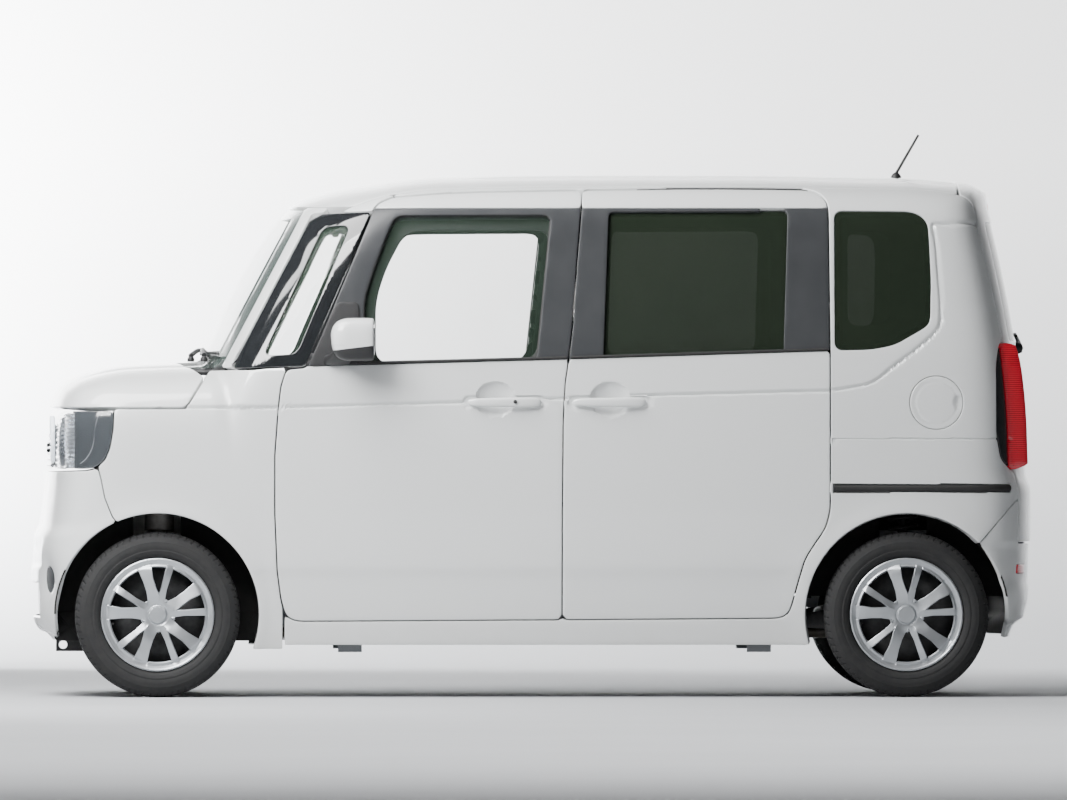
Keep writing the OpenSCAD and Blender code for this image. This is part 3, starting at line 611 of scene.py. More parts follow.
# Outlines in side view, each a list of (forward, up).
doorFrontEdge = [
    (0.787, 0.255), (0.818, 0.26), (0.841, 0.279), (0.856, 0.333), (0.868, 0.426), (0.876, 0.62),
    (0.876, 0.813), (0.864, 0.975), (0.856, 1.045), (0.837, 1.103), (0.767, 1.109),
    (0.685, 1.303), (0.6, 1.506), (0.548, 1.634), (0.528, 1.662), (0.48, 1.684),
    (0.311, 1.697), (0.172, 1.702)]
doorSplit = [
    (-0.16, 1.708), (-0.157, 1.646), (-0.144, 1.49), (-0.125, 1.24), (-0.113, 1.137),
    (-0.1, 1.053), (-0.094, 0.93), (-0.091, 0.6), (-0.091, 0.26)]
frontDoorEdge = fillet(doorFrontEdge + doorSplit, 0.018)
slideDoorEdge = fillet(doorSplit[::-1] + [
    (-0.542, 1.714), (-0.91, 1.711), (-0.958, 1.699), (-0.984, 1.67), (-0.989, 1.636),
    (-0.993, 1.16), (-0.993, 0.68), (-0.992, 0.627), (-0.977, 0.57), (-0.949, 0.529),
    (-0.916, 0.48), (-0.903, 0.452), (-0.878, 0.364), (-0.858, 0.291), (-0.84, 0.272),
    (-0.811, 0.265)], 0.02)
windowCorners = [(0.473, 1.622), (-0.056, 1.624), (-0.006, 1.134), (0.577, 1.117), (0.577, 1.34),
                 (0.54, 1.455)]
frontWindow = fillet(windowCorners, 0.03)
slideWindow = fillet([(-0.249, 1.634), (-0.852, 1.636), (-0.836, 1.159), (-0.229, 1.141)], 0.016)
rearWindow = fillet([(-1.008, 1.638), (-1.266, 1.636), (-1.302, 1.622), (-1.326, 1.592),
                     (-1.334, 1.4), (-1.331, 1.262), (-1.313, 1.243), (-1.21, 1.184),
                     (-1.132, 1.169), (-1.008, 1.166)], 0.03)
quarterZone = fillet([(0.747, 1.63), (0.553, 1.636), (0.774, 1.114), (1.024, 1.108)], 0.012)
quarterClear = fillet([(0.712, 1.585), (0.622, 1.59), (0.803, 1.155), (0.915, 1.15)], 0.03)
frontBlack = [(0.60, 1.646), (-0.2, 1.646), (-0.2, 1.139), (-0.113, 1.137), (0.9, 1.1095), (0.9, 1.646)]
slideBlack = [(-0.1, 1.646), (-1.05, 1.646), (-1.05, 1.167), (-0.993, 1.165), (-0.1, 1.137)]
bonnetEdge = [(1.8, 0.975), (1.185, 0.975), (1.17, 0.985), (1.094, 1.108), (1.094, 1.32), (1.8, 1.32)]
lampEdge = fillet([(1.417, 0.967), (1.42, 0.9), (1.43, 0.84), (1.446, 0.8), (1.472, 0.776),
                   (1.51, 0.768), (1.8, 0.762), (1.8, 0.967)], 0.02)
bumperEdge = fillet([(1.472, 0.77), (1.461, 0.735), (1.448, 0.67), (1.421, 0.604), (1.38, 0.56),
                     (1.33, 0.48), (1.33, 0.1), (1.8, 0.1), (1.8, 0.756), (1.51, 0.762)], 0.012)
fenderEdge = fillet([
    (1.417, 0.967), (1.42, 0.9), (1.43, 0.84), (1.446, 0.8), (1.472, 0.776), (1.461, 0.735),
    (1.448, 0.67), (1.421, 0.604), (1.38, 0.56), (1.33, 0.48), (1.27, 0.28), (0.92, 0.1),
    (0.848, 0.1), (0.848, 0.3), (0.856, 0.333), (0.868, 0.426), (0.876, 0.62), (0.876, 0.813),
    (0.864, 0.975), (0.856, 1.045), (0.837, 1.103), (1.04, 1.103), (1.094, 1.103),
    (1.168, 0.982), (1.183, 0.971), (1.417, 0.971)], 0.01)
tailLampEdge = fillet([(-1.618, 1.246), (-1.566, 1.19), (-1.555, 1.12), (-1.555, 0.88),
                       (-1.57, 0.8), (-1.614, 0.756), (-1.8, 0.756), (-1.8, 1.246)], 0.02)
rearBumperEdge = fillet([(-1.8, 0.668), (-1.63, 0.668), (-1.607, 0.644), (-1.505, 0.529),
                         (-1.4, 0.43), (-1.4, 0.1), (-1.8, 0.1)], 0.02)
tailgateEdge = [(-1.434, 1.9), (-1.434, 1.712), (-1.44, 1.655), (-1.452, 1.5), (-1.52, 1.215),
                (-1.556, 0.9), (-1.56, 0.52), (-1.9, 0.52), (-1.9, 1.9)]
tailgateBack = fillet([(-0.8, 0.52), (0.622, 0.52), (0.622, 1.255), (0.604, 1.575), (0.556, 1.655),
                       (0.556, 1.9), (-0.8, 1.9)], 0.02)
tailWindow = fillet([(-0.545, 1.2), (0.545, 1.2), (0.52, 1.575), (0.5, 1.6), (-0.5, 1.6),
                     (-0.52, 1.575)], 0.03)
bodySideEdge = [
    (0.842, 0.1), (0.842, 0.3), (0.831, 1.107), (1.04, 1.109), (1.088, 1.112), (1.02, 1.206),
    (0.868, 1.612), (0.842, 1.72), (0.706, 1.815), (-1.8, 1.815), (-1.8, 0.1)]
pressedLine = fillet([
    (1.9, 0.984), (0.864, 0.984), (0.245, 1.001), (-0.387, 1.025), (-0.993, 1.04), (-1.127, 1.062),
    (-1.207, 1.124), (-1.29, 1.187), (-1.345, 1.236), (-1.357, 1.262), (-1.358, 1.328),
    (-1.342, 1.534), (-1.326, 1.602), (-1.9, 1.608), (-1.9, -0.3), (1.9, -0.3)], 0.03)
fuelLid = {"x": -1.35, "z": 0.991, "radius": 0.088}
handles = {"front": (0.104, 0.134), "slide": (-0.248, -0.252), "z": 0.995, "reach": 0.131,
           "bowl": (0.068, 0.060), "bowlDepth": 0.021}
roofHalf = 0.56
railHeight = 0.703
fogLamp = (0.565, 0.395)
gapHalf = body["gap"] / 2


def tailgateZone(x, y, z):
    return np.minimum(inside(tailgateEdge, x, z), inside(tailgateBack, np.abs(y), z))


def screenZone(x, y, z):
    # ahead of the pillars, above the cowl and below the roof's front edge
    return np.minimum(x - (1.060 - 0.5307 * (z - 1.108)), np.minimum(z - 1.112, 1.7 - z))


def screenPane(x, y, z):
    return np.minimum(screenZone(x, y, z), 1.648 - z)


def tailPane(x, y, z):
    return np.where(x < -1.4, inside(tailWindow, np.abs(y), z), -1)


def pressing(x, y, z):
    # depth of the pressed line, the shut line on the quarter, the handle bowls and the arch lips
    d = inside(pressedLine, x, z) - 0.001
    depth = np.where(d > 0, np.where(d < 0.010, d / 0.010 * 0.0085,
            np.clip((0.0145 - d) / 0.0045, 0, 1) * 0.0085), 0)
    depth = depth * ease((z - 0.5) / 0.1) * (x < 1.19)
    seam = (np.abs(z - 0.869) < 0.0025) & (x < -0.998)
    depth = np.maximum(depth, seam * 0.004)
    for bar, bowl in (handles["front"], handles["slide"]):
        q = ((x - bowl) / handles["bowl"][0]) ** 2 + ((z - handles["z"]
                - 0.007) / handles["bowl"][1]) ** 2
        scoop = handles["bowlDepth"] * (1 - q).clip(0) ** 0.55
        dx = np.abs(x - bar) - handles["reach"] + 0.014
        pill = 0.0235 - np.hypot(dx.clip(0), z - handles["z"] + 0.002)
        depth = np.maximum(np.maximum(depth * (pill < 0), scoop), ease(pill / 0.005) * 0.006)
    away = arch(x, z)
    depth = depth - 0.005 * np.exp(-(away / 0.03) ** 2) - 0.004 * np.exp(-(away / 0.075) ** 2)
    return depth


def doorDepth(points):
    return 0.045 + 0.04 * (1 - ease((points[:, 2] - 1.07) / 0.1))


denseT = [(upTo(0.925), upTo(0.972), 0.007), (upTo(0.972), 0.88, 0.0032)]
tTop = 1.63
frameBand = [(1.40, 1.51, 0.004)]


def doorZones(edge, black, window):
    # the painted skin, the dark surround of the window and the glass of one door
    def whole(x, y, z):
        return least(inside(edge, x, z) - gapHalf, y - 0.582)

    def paint(x, y, z):
        return least(whole(x, y, z), -inside(black, x, z) - 0.0005)

    def surround(x, y, z):
        return least(whole(x, y, z), inside(black, x, z), -inside(window, x, z))

    def pane(x, y, z):
        return inside(window, x, z) + 0.004

    return paint, surround, pane


doors = {
    "door": {"zones": doorZones(frontDoorEdge, frontBlack, frontWindow), "range": (-0.175, 0.98),
             "bands": [(-0.03, 0.24, 0.0065), (0.62, 0.98, 0.006)],
             "glass": clearGlass, "glassName": "doorGlass_", "glassRange": (-0.08, 0.70)},
    "slideDoor": {"zones": doorZones(slideDoorEdge, slideBlack, slideWindow), "range": (-1.01, -0.08),
                  "bands": [(-0.39, -0.11, 0.0065)],
                  "glass": privacyGlass, "glassName": "slideGlass_", "glassRange": (-0.88, -0.2)},
}
for side, word in sides:
    for name, door in doors.items():
        # a front door rides on its hinge; the sliding doors are one node and stay with the body
        if name == "door":
            ride, skinFor, glassFor = "front_door_" + word, ("front_door_" + word,
                    ), ("front_door_glass_" + word,)
        else:
            ride, skinFor, glassFor = "body", ("sliding_doors",) * (side > 0), ("side_glass",
                    ) * (side > 0)
        paint, surround, pane = door["zones"]
        panel(name + "Skin_" + word, paint, door["range"], (0.05, tTop), 0.014, doorDepth, white, ride,
              replaces=skinFor, side=side, relief=pressing, bandsT=denseT, bandsS=door["bands"],
              trim=trimGrey)
        panel(name + "Frame_" + word, surround, door["range"], (0.75, tTop), 0.011, 0.045, pillarGrey,
              ride, side=side, sink=0.0012, bandsT=frameBand)
        panel(door["glassName"] + word, pane, door["glassRange"], (0.8, 1.5), 0.016, 0.004,
              door["glass"], ride, replaces=glassFor, side=side, sink=0.014, edge=0.0008)
print("doors made")


# Body sides, roof and end panels.
def bodySideZone(x, y, z):
    return least(inside(bodySideEdge, x, z), np.where((z > 1.42) & (x < 0.7), y - roofHalf, 1.0),
                 np.where(x > 0.68, 1.65 - z, 1.0), -inside(frontDoorEdge, x, z) - gapHalf,
                 -inside(slideDoorEdge, x, z) - gapHalf, -inside(rearWindow, x, z),
                 -inside(quarterZone, x, z) - 0.0008, -tailgateZone(x, y, z) - gapHalf,
                 -inside(tailLampEdge, x, z) - 0.001, -inside(rearBumperEdge, x, z) - 0.0015,
                 -screenZone(x, y, z) - 0.003, arch(x, z), z - 0.176)


def withFuelHole(x, y, z):
    hole = np.hypot(x - fuelLid["x"], z - fuelLid["z"]) - fuelLid["radius"] - 0.003
    return np.minimum(bodySideZone(x, y, z), hole)


def sideRelief(x, y, z):
    slot = (np.abs(z - railHeight) < 0.014) & (x < -1.0) & (x > -1.602)
    return pressing(x, y, z) + slot * 0.012


quarterBand = [(-1.4, -0.98, 0.006), (-1.7, -1.4, 0.010)]
sideBands = denseT + [(upTo(0.68), upTo(0.73), 0.004), (upTo(0.855), upTo(0.885), 0.003),
                      (upTo(1.068), upTo(1.63), 0.009)]
for side, word in sides:
    panel("bodySide_" + word, withFuelHole if side > 0 else bodySideZone, (-2.39, 1.16), (0.0, 2.18),
          0.014, lambda p: np.full(len(p), 0.05), white, replaces=("body_sides",) if side > 0 else (),
          side=side, relief=sideRelief, bandsS=quarterBand, bandsT=sideBands, trim=trimPale)
    panel("rearQuarterGlass_" + word, lambda x, y, z: inside(rearWindow, x, z) - 0.0015, (-1.36, -0.98),
          (0.8, 1.52), 0.012, 0.004, privacyGlass, side=side, sink=0.003, edge=0.001)
    panel("rearQuarterRim_" + word, lambda x, y, z: np.minimum(inside(rearWindow, x, z),
            0.02 - inside(rearWindow, x, z)), (-1.36, -0.98), (0.8, 1.52), 0.010, 0.012, glossBlack,
          side=side, sink=0.0075)
    panel("quarterTrim_" + word, lambda x, y, z: np.minimum(inside(quarterZone, x, z),
            -inside(quarterClear, x, z)), (0.52, 1.12), (0.75, 1.62), 0.010, 0.03, glossBlack,
          side=side, sink=0.003)
    panel("quarterGlass_" + word, lambda x, y, z: inside(quarterClear, x, z) + 0.003, (0.58, 1.02),
          (0.8, 1.5), 0.014, 0.004, clearGlass, side=side, sink=0.006, edge=0.0008)

panel("fuelLidSkin", lambda x, y, z: fuelLid["radius"] + 0.001 - np.hypot(x - fuelLid["x"],
        z - fuelLid["z"]), (-1.46, -1.24), (upTo(0.88), upTo(1.1)), 0.006, 0.008, white, "fuel_lid",
      replaces=("fuel_lid",), relief=lambda x, y, z: 0.0012 * (np.abs(np.hypot(x - fuelLid["x"],
        z - fuelLid["z"]) - 0.072) < 0.0035) + 0.006
      * (1 - ((x + 1.427) / 0.02) ** 2 - ((z - 0.991) / 0.026) ** 2).clip(0) ** 0.5)


def fenderZone(x, y, z):
    return least(inside(fenderEdge, x, z) - gapHalf, arch(x, z), y - 0.32,
                 -bonnetZone(x, y, z) - body["gap"])


def bonnetZone(x, y, z):
    back = x - (1.228 - 0.126 * (y / 0.65) ** 2)
    return np.minimum(inside(bonnetEdge, x, z) - 0.0015, back)


def bonnetPressing(x, y, z):
    # two long soft flutes along the top, fading towards the nose
    flute = np.exp(-((y - 0.43) / 0.03) ** 2) * 0.004
    return flute * ease((1.6 - x) / 0.2) * ease((z - 1.03) / 0.05)


def fogLampDistance(y, z):
    return np.hypot(y - fogLamp[0], z - fogLamp[1])


def frontBumperZone(x, y, z):
    mouth = least(0.43 - y, 0.058 - np.abs(z - 0.325))
    return least(inside(bumperEdge, x, z) - 0.0015, arch(x, z), -np.where(x > 1.45, mouth, -1),
                 -np.where(x > 1.45, 0.045 - fogLampDistance(y, z), -1), z - 0.19)


def frontBumperPressing(x, y, z):
    # a sill above the lower mouth, and a hollow round each small lamp
    shelf = 0.008 * ease((z - 0.43) / 0.02) * ease((0.55 - z) / 0.05) * ease((0.5 - y) / 0.06)
    hollow = 0.02 * np.exp(-(fogLampDistance(y, z) / 0.07) ** 2) * (x > 1.5)
    return shelf + hollow - 0.005 * np.exp(-(arch(x, z) / 0.03) ** 2)


def rearBumperZone(x, y, z):
    reflector = least(0.055 - np.abs(y - 0.56), 0.016 - np.abs(z - 0.43))
    return least(inside(rearBumperEdge, x, z) - 0.0015, arch(x, z),
                 -tailgateZone(x, y, z) - body["gap"], np.where(x < -1.6, -reflector, 1), z - 0.2)


def rearBumperPressing(x, y, z):
    step = 0.006 * ease((0.52 - z) / 0.01) * ease((z - 0.36) / 0.03) * (x < -1.5)
    return step - 0.005 * np.exp(-(arch(x, z) / 0.03) ** 2)


panel("roofSkin", lambda x, y, z: np.minimum(np.minimum(roofHalf - 0.002 - np.abs(y), x + 1.427),
        np.where(x > 0.3, z - 1.652, 1.0)), (-1.6, 1.2), (1.3, tEnd), 0.018, 0.035, white,
      replaces=("roof",), both=True, relief=lambda x, y, z: 0.0035 * np.exp(-((y - 0.36) / 0.022) ** 2)
      * ease((0.25 - x) / 0.1) + 0.0035 * np.exp(-((y - 0.12) / 0.022) ** 2) * ease((0.25 - x) / 0.1),
      trim=trimPale)
for side, word in sides:
    panel("roofMoulding_" + word, lambda x, y, z: np.minimum(0.011 - np.abs(y - 0.56),
            np.minimum(x + 1.43, 0.62 - x)), (-1.6, 1.0), (1.4, tEnd), 0.008, 0.008, sealRubber,
          side=side, sink=0.005, edge=0.0005)
panel("bonnetSkin", bonnetZone, (0.9, sEnd), (0.8, tEnd), 0.014, 0.03, white, "bonnet",
      replaces=("bonnet",), both=True, relief=bonnetPressing, trim=steelBlack)
for side, word in sides:
    panel("fenderSkin_" + word, fenderZone, (0.8, 1.9), (0.0, 1.9), 0.011, 0.024, white,
          replaces=("front_fenders",) if side > 0 else (), side=side, relief=pressing,
          bandsT=[(0.80, 1.30, 0.0042)], bandsS=[(0.8, 1.27, 0.0048)], trim=steelBlack)
panel("frontBumperSkin", frontBumperZone, (1.25, sEnd), (0.0, 1.35), 0.012, 0.012, white,
      replaces=("front_bumper",), both=True, relief=frontBumperPressing, trim=linerBlack)
panel("rearBumperSkin", rearBumperZone, (-sEnd, -1.35), (0.0, 0.75), 0.012, 0.014, white,
      replaces=("rear_bumper",), both=True, relief=rearBumperPressing, trim=linerBlack)


def tailgatePaint(x, y, z):
    window = inside(tailWindow, np.abs(y), z)
    return np.minimum(tailgateZone(x, y, z) - gapHalf, -np.where(x < -1.45, window, -1))


def tailgatePressing(x, y, z):
    # the number plate's hollow, a crease under the window and another low down
    plate = np.minimum(0.185 - y, 0.100 - np.abs(z - 0.903))
    hollow = ease((plate + 0.008) / 0.016) * 0.022 * (x < -1.5)
    crease = 0.004 * np.exp(-((z - 1.13) / 0.012) ** 2) * (x < -1.5) * ease((0.6 - y) / 0.03)
    lower = 0.004 * np.exp(-((z - 0.74) / 0.01) ** 2) * (x < -1.5) * ease((0.6 - y) / 0.03)
    return hollow + crease + lower


panel("tailgateSkin", tailgatePaint, (-sEnd, -1.2), (0.3, tEnd), 0.014,
      lambda p: 0.03 + 0.03 * ease((1.15 - p[:, 2]) / 0.1), white, "tailgate", replaces=("tailgate",),
      both=True, relief=tailgatePressing, trim=trimGrey)
panel("tailgateGlass", lambda x, y, z: tailPane(x, y, z) - 0.0015, (-sEnd, -1.3), (0.9, 1.7), 0.016,
      0.004, privacyGlass, "tailgate", replaces=("tailgate_glass",), both=True, sink=0.003, edge=0.001)
panel("tailgateRim", lambda x, y, z: least(tailPane(x, y, z), 0.028 - tailPane(x, y, z)), (-sEnd, -1.3),
      (0.9, 1.7), 0.012, 0.014, glossBlack, "tailgate", both=True, sink=0.0078)
panel("windscreenGlass", screenPane, (0.4, 1.25), (0.9, tEnd), 0.016, 0.005, screenGlass,
      replaces=("windscreen",), both=True, sink=0.002, edge=0.001)
panel("windscreenRim", lambda x, y, z: np.minimum(screenPane(x, y, z), 0.03 - screenPane(x, y, z)),
      (0.4, 1.25), (0.9, tEnd), 0.012, 0.006, glossBlack, both=True, sink=0.0078, edge=0.0008)
print("body panels made")

# Lamps and grille.
lamp = {"split": 1.556, "ringY": 0.535, "ringZ": 0.868, "ringR": 0.072, "grilleHalf": 0.33}


def redEdge(x, y, z):
    return np.minimum(curve(tailLine, z) + 0.079 - x, 1.205 - z)


def tailLampZone(x, y, z):
    return np.minimum(inside(tailLampEdge, x, z) - 0.0015, -tailgateZone(x, y, z) - body["gap"])


def tailLampDark(x, y, z):
    return np.minimum(tailLampZone(x, y, z), -redEdge(x, y, z))


def tailLampBright(x, y, z):
    return np.minimum(tailLampZone(x, y, z), redEdge(x, y, z) - 0.0005)


def lampZone(x, y, z):
    return np.minimum(inside(lampEdge, x, z) - 0.002, y - lamp["grilleHalf"] - 0.004)


def tube(path, radius, sides=12, closed=False):
    # a round tube along a path: each ring lies across the path's direction
    path = np.asarray(path, float)
    n = len(path)
    way = np.roll(path, -1, 0) - np.roll(path, 1, 0) if closed else np.gradient(path, axis=0)
    way /= np.linalg.norm(way, axis=1, keepdims=True).clip(1e-9)
    up = np.tile([0.0, 0.0, 1.0], (n, 1))
    up[np.abs(way[:, 2]) > 0.95] = (1.0, 0.0, 0.0)
    across = np.cross(way, up)
    across /= np.linalg.norm(across, axis=1, keepdims=True)
    rise = np.cross(across, way)
    g = np.linspace(0, 2 * math.pi, sides, endpoint=False)
    r = np.broadcast_to(radius, n)[:, None, None]
    points = path[:, None] + r * (np.cos(g)[None, :, None] * across[:, None] + np.sin(g)[None, :, None]
                                  * rise[:, None])
    points = points.reshape(-1, 3)
    faces = gridFaces(n, sides, closed, True)
    faces = [tuple(f[::-1]) for f in faces.tolist()]
    if not closed:
        points = np.concatenate([points, path[[0, -1]]])
        first, last = n * sides, n * sides + 1
        faces += [(first, k, (k + 1) % sides) for k in range(sides)]
        base = (n - 1) * sides
        faces += [(last, base + (k + 1) % sides, base + k) for k in range(sides)]
    return points, faces


def revolve(profile, centre, axis=1, count=96, side=1, wave=None):
    # a profile of (radius, along) turned about an axis through centre; the profile closes on itself
    p = np.array(profile, float)
    g = np.linspace(0, 2 * math.pi, count, endpoint=False)
    r, a = p[:, 0][None, :], p[:, 1][None, :] * side
    if wave is not None:
        r = r + wave(g[:, None], p[:, 0][None, :], p[:, 1][None, :])
    flatA = np.broadcast_to(a, (count, len(p)))
    c, s = np.cos(g)[:, None] * r, np.sin(g)[:, None] * r
    order = {0: (flatA, c, s), 1: (c, flatA, s), 2: (c, s, flatA)}[axis]
    points = np.stack([np.asarray(o) for o in order], -1).reshape(-1, 3) + np.array(centre)
    faces = gridFaces(count, len(p), True, True)
    return points, faces.tolist()


def fixNormals(piece):
    # doubles merged, then all faces turned outwards
    work = bmesh.new()
    work.from_mesh(piece.data)
    bmesh.ops.remove_doubles(work, verts=work.verts, dist=1e-6)
    bmesh.ops.recalc_face_normals(work, faces=work.faces)
    work.to_mesh(piece.data)
    work.free()
    return piece


def capped(piece):
    # open ends filled with one face each, and all faces turned outwards
    work = bmesh.new()
    work.from_mesh(piece.data)
    bmesh.ops.holes_fill(work, edges=work.edges, sides=60)
    bmesh.ops.recalc_face_normals(work, faces=work.faces)
    work.to_mesh(piece.data)
    work.free()
    return piece


def fitting(name, shape, material, ride="body", replaces=(), sharp=38):
    # a piece made straight from points and faces
    return settle(fixNormals(meshPiece(name, *shape, material, sharp=sharp)), ride, replaces)


for side, word in sides:
    swap = np.array([1, side, 1])
    panel("lampLens_" + word, lampZone, (1.3, sEnd), (upTo(0.74, 1.12), upTo(1.0, 1.09)), 0.009, 0.003,
          lampGlass, replaces=("headlamps",) if side > 0 else (), side=side, edge=0.0012)
    panel("lampHousing_" + word, lambda x, y, z: np.minimum(lampZone(x, y, z), lamp["split"] - x),
          (1.3, sEnd), (upTo(0.74, 1.12), upTo(1.0, 1.09)), 0.009, 0.03, glossBlack, side=side,
          sink=0.006)
    panel("lampBowl_" + word, lambda x, y, z: np.minimum(lampZone(x, y, z) - 0.004,
            x - lamp["split"] - 0.001), (1.3, sEnd), (upTo(0.74, 1.12), upTo(1.0, 1.09)), 0.009, 0.006,
          chrome, side=side, sink=0.02,
          relief=lambda x, y, z: 0.045 * np.exp(-(np.hypot(y - lamp["ringY"],
            z - lamp["ringZ"]) / 0.075) ** 4) * (x > 1.6) + 0.0015 * np.sin(z * 420) * (x < 1.63))
    ringPath = [(1.622, lamp["ringY"] + lamp["ringR"] * math.cos(a),
                 lamp["ringZ"] + lamp["ringR"] * math.sin(a)) for a in np.linspace(0, 2 * math.pi, 48,
            endpoint=False)]
    p, f = tube(ringPath, 0.0075, 10, True)
    ring = meshPiece("lampRing_" + word, p * swap, f, lampWhite)
    settle(fixNormals(ring), "body")
    dome = [(0.001, 0.03)] + [(0.042 * math.sin(a),
                               0.012 + 0.018 * math.cos(a)) for a in np.linspace(0.2, 1.4, 8)]
    dome += [(0.047, 0.012), (0.047, -0.02), (0.001, -0.02)]
    fitting("lampProjector_" + word, revolve(dome, (1.588, lamp["ringY"] * side, lamp["ringZ"]), 0, 40),
            lampGlass)
    arc = [(1.466, 0.952), (1.474, 0.934), (1.479, 0.915), (1.483, 0.89), (1.484, 0.865),
           (1.489, 0.842), (1.498, 0.82), (1.512, 0.80), (1.53, 0.786)]
    arc = np.array(arc)
    arcX, arcZ = arc[:, 0], arc[:, 1]
    sGuess, tGuess = arcX.copy(), upTo(arcZ, 1.11)
    for _ in range(12):
        here = skin(sGuess, tGuess)
        sGuess = sGuess + (arcX - here[:, 0])
        tGuess = tGuess + (arcZ - here[:, 2]) * 1.5
    fitting("lampArc_" + word, tube((skin(sGuess, tGuess) - [0, 0.0045, 0]) * swap, 0.0013, 8), chrome)

    panel("tailLampBlack_" + word, tailLampDark, (-sEnd, -1.45), (upTo(0.72), upTo(1.3)), 0.008, 0.02,
          glossBlack, side=side, sink=0.0012)
    red = panel("tailLampRed_" + word, tailLampBright, (-sEnd, -1.45), (upTo(0.72), upTo(1.3)), 0.008,
                0.02, redLens, replaces=("tail_lamps",) if side > 0 else (), side=side, sink=-0.001,
                edge=0.003)
    # the red lens stands out behind, deepest in the middle of its width
    p = np.array([v.co for v in red.data.vertices])
    swell = redEdge(p[:, 0], p[:, 1], p[:, 2]).clip(0) / 0.012
    p[:, 0] -= 0.052 * ease(swell) * ease((p[:, 2] - 0.757) / 0.03) * ease((1.205 - p[:, 2]) / 0.02)
    red.data.vertices.foreach_set("co", p.ravel())
    # the reflector takes the red lens finish, so it glows faintly though it is no lamp: a painted glow
    panel("bumperReflector_" + word, lambda x, y, z: np.where(x < -1.6,
            np.minimum(0.053 - np.abs(y - 0.56), 0.0145 - np.abs(z - 0.43)), -1), (-sEnd, -1.5),
          (upTo(0.38), upTo(0.48)), 0.006, 0.01, redLens, side=side, sink=0.004)
    panel("bumperLamp_" + word, lambda x, y, z: np.where(x > 1.5, 0.046 - fogLampDistance(y, z), -1),
          (1.5, sEnd), (0.15, 0.45), 0.006, 0.012, glossBlack, side=side, sink=0.012)


def grilleZone(x, y, z):
    return np.where(x > 1.4, np.minimum(lamp["grilleHalf"] - np.abs(y),
            np.minimum(z - 0.771, 0.966 - z)), -1)


def slats(x, y, z):
    # rounded bars across the grille, 18 mm apart, and a plain band in the middle
    bar = 0.5 + 0.5 * np.cos(z * 2 * math.pi / 0.0195)
    calm = ease((0.06 - y) / 0.012) * ease((0.05 - np.abs(z - 0.868)) / 0.008)
    return 0.016 * (1 - bar ** 0.6) * (1 - calm)


panel("grilleFace", grilleZone, (1.7, sEnd), (upTo(0.74, 1.12), upTo(1.0, 1.09)), 0.010, 0.008,
      glossBlack, replaces=("grille",), both=True, sink=0.004, relief=slats,
      bandsT=[(0.85, 1.35, 0.0032)])
panel("mouthGrille", lambda x, y, z: np.where(x > 1.45,
        np.minimum(0.44 - np.abs(y), 0.07 - np.abs(z - 0.325)), -1), (1.7, sEnd), (0.1, 0.4), 0.010,
      0.006, linerBlack, both=True, sink=0.03, bandsT=[(0.1, 0.4, 0.004)],
      relief=lambda x, y, z: 0.012 * (0.5 + 0.5 * np.cos(z * 2 * math.pi / 0.026)) ** 2)
print("lamps made")

# Outside fittings.
def onSide(x, z, proud=0.0):
    # points on the body's side at given places, found by sliding s and t until x and z agree
    x, z = np.broadcast_arrays(np.asarray(x, float), np.asarray(z, float))
    s, t = x.ravel().copy(), upTo(z.ravel())
    for _ in range(14):
        here = skin(s, t)
        s, t = s + (x.ravel() - here[:, 0]), t + (z.ravel() - here[:, 2]) * 0.9
    return skin(s, t) + [0, proud, 0]


def bent(w, k):
    return np.sign(w) * np.abs(w) ** k


def roundedBlock(power, counts):
    # a superellipsoid: each axis is a power of the sine or cosine of two angles
    a = np.linspace(0, 2 * math.pi, counts[0], endpoint=False)[:, None]
    b = np.linspace(-math.pi / 2, math.pi / 2, counts[1])[None, :]
    return np.stack([bent(np.cos(b), power[1]) * bent(np.cos(a), power[0]),
                     bent(np.cos(b), power[1]) * bent(np.sin(a), power[0]),
                     bent(np.sin(b), power[1]) * np.ones_like(a)], -1).reshape(-1, 3)


def pillow(name, centre, half, power, material, counts=(40, 24), shape=None, side=1):
    unit = roundedBlock(power, counts)
    points = unit * half
    if shape:
        points = shape(points, unit)
    points = (points + centre) * [1, side, 1]
    return fixNormals(meshPiece(name, points, gridFaces(counts[0], counts[1], True, False), material,
                                sharp=60))


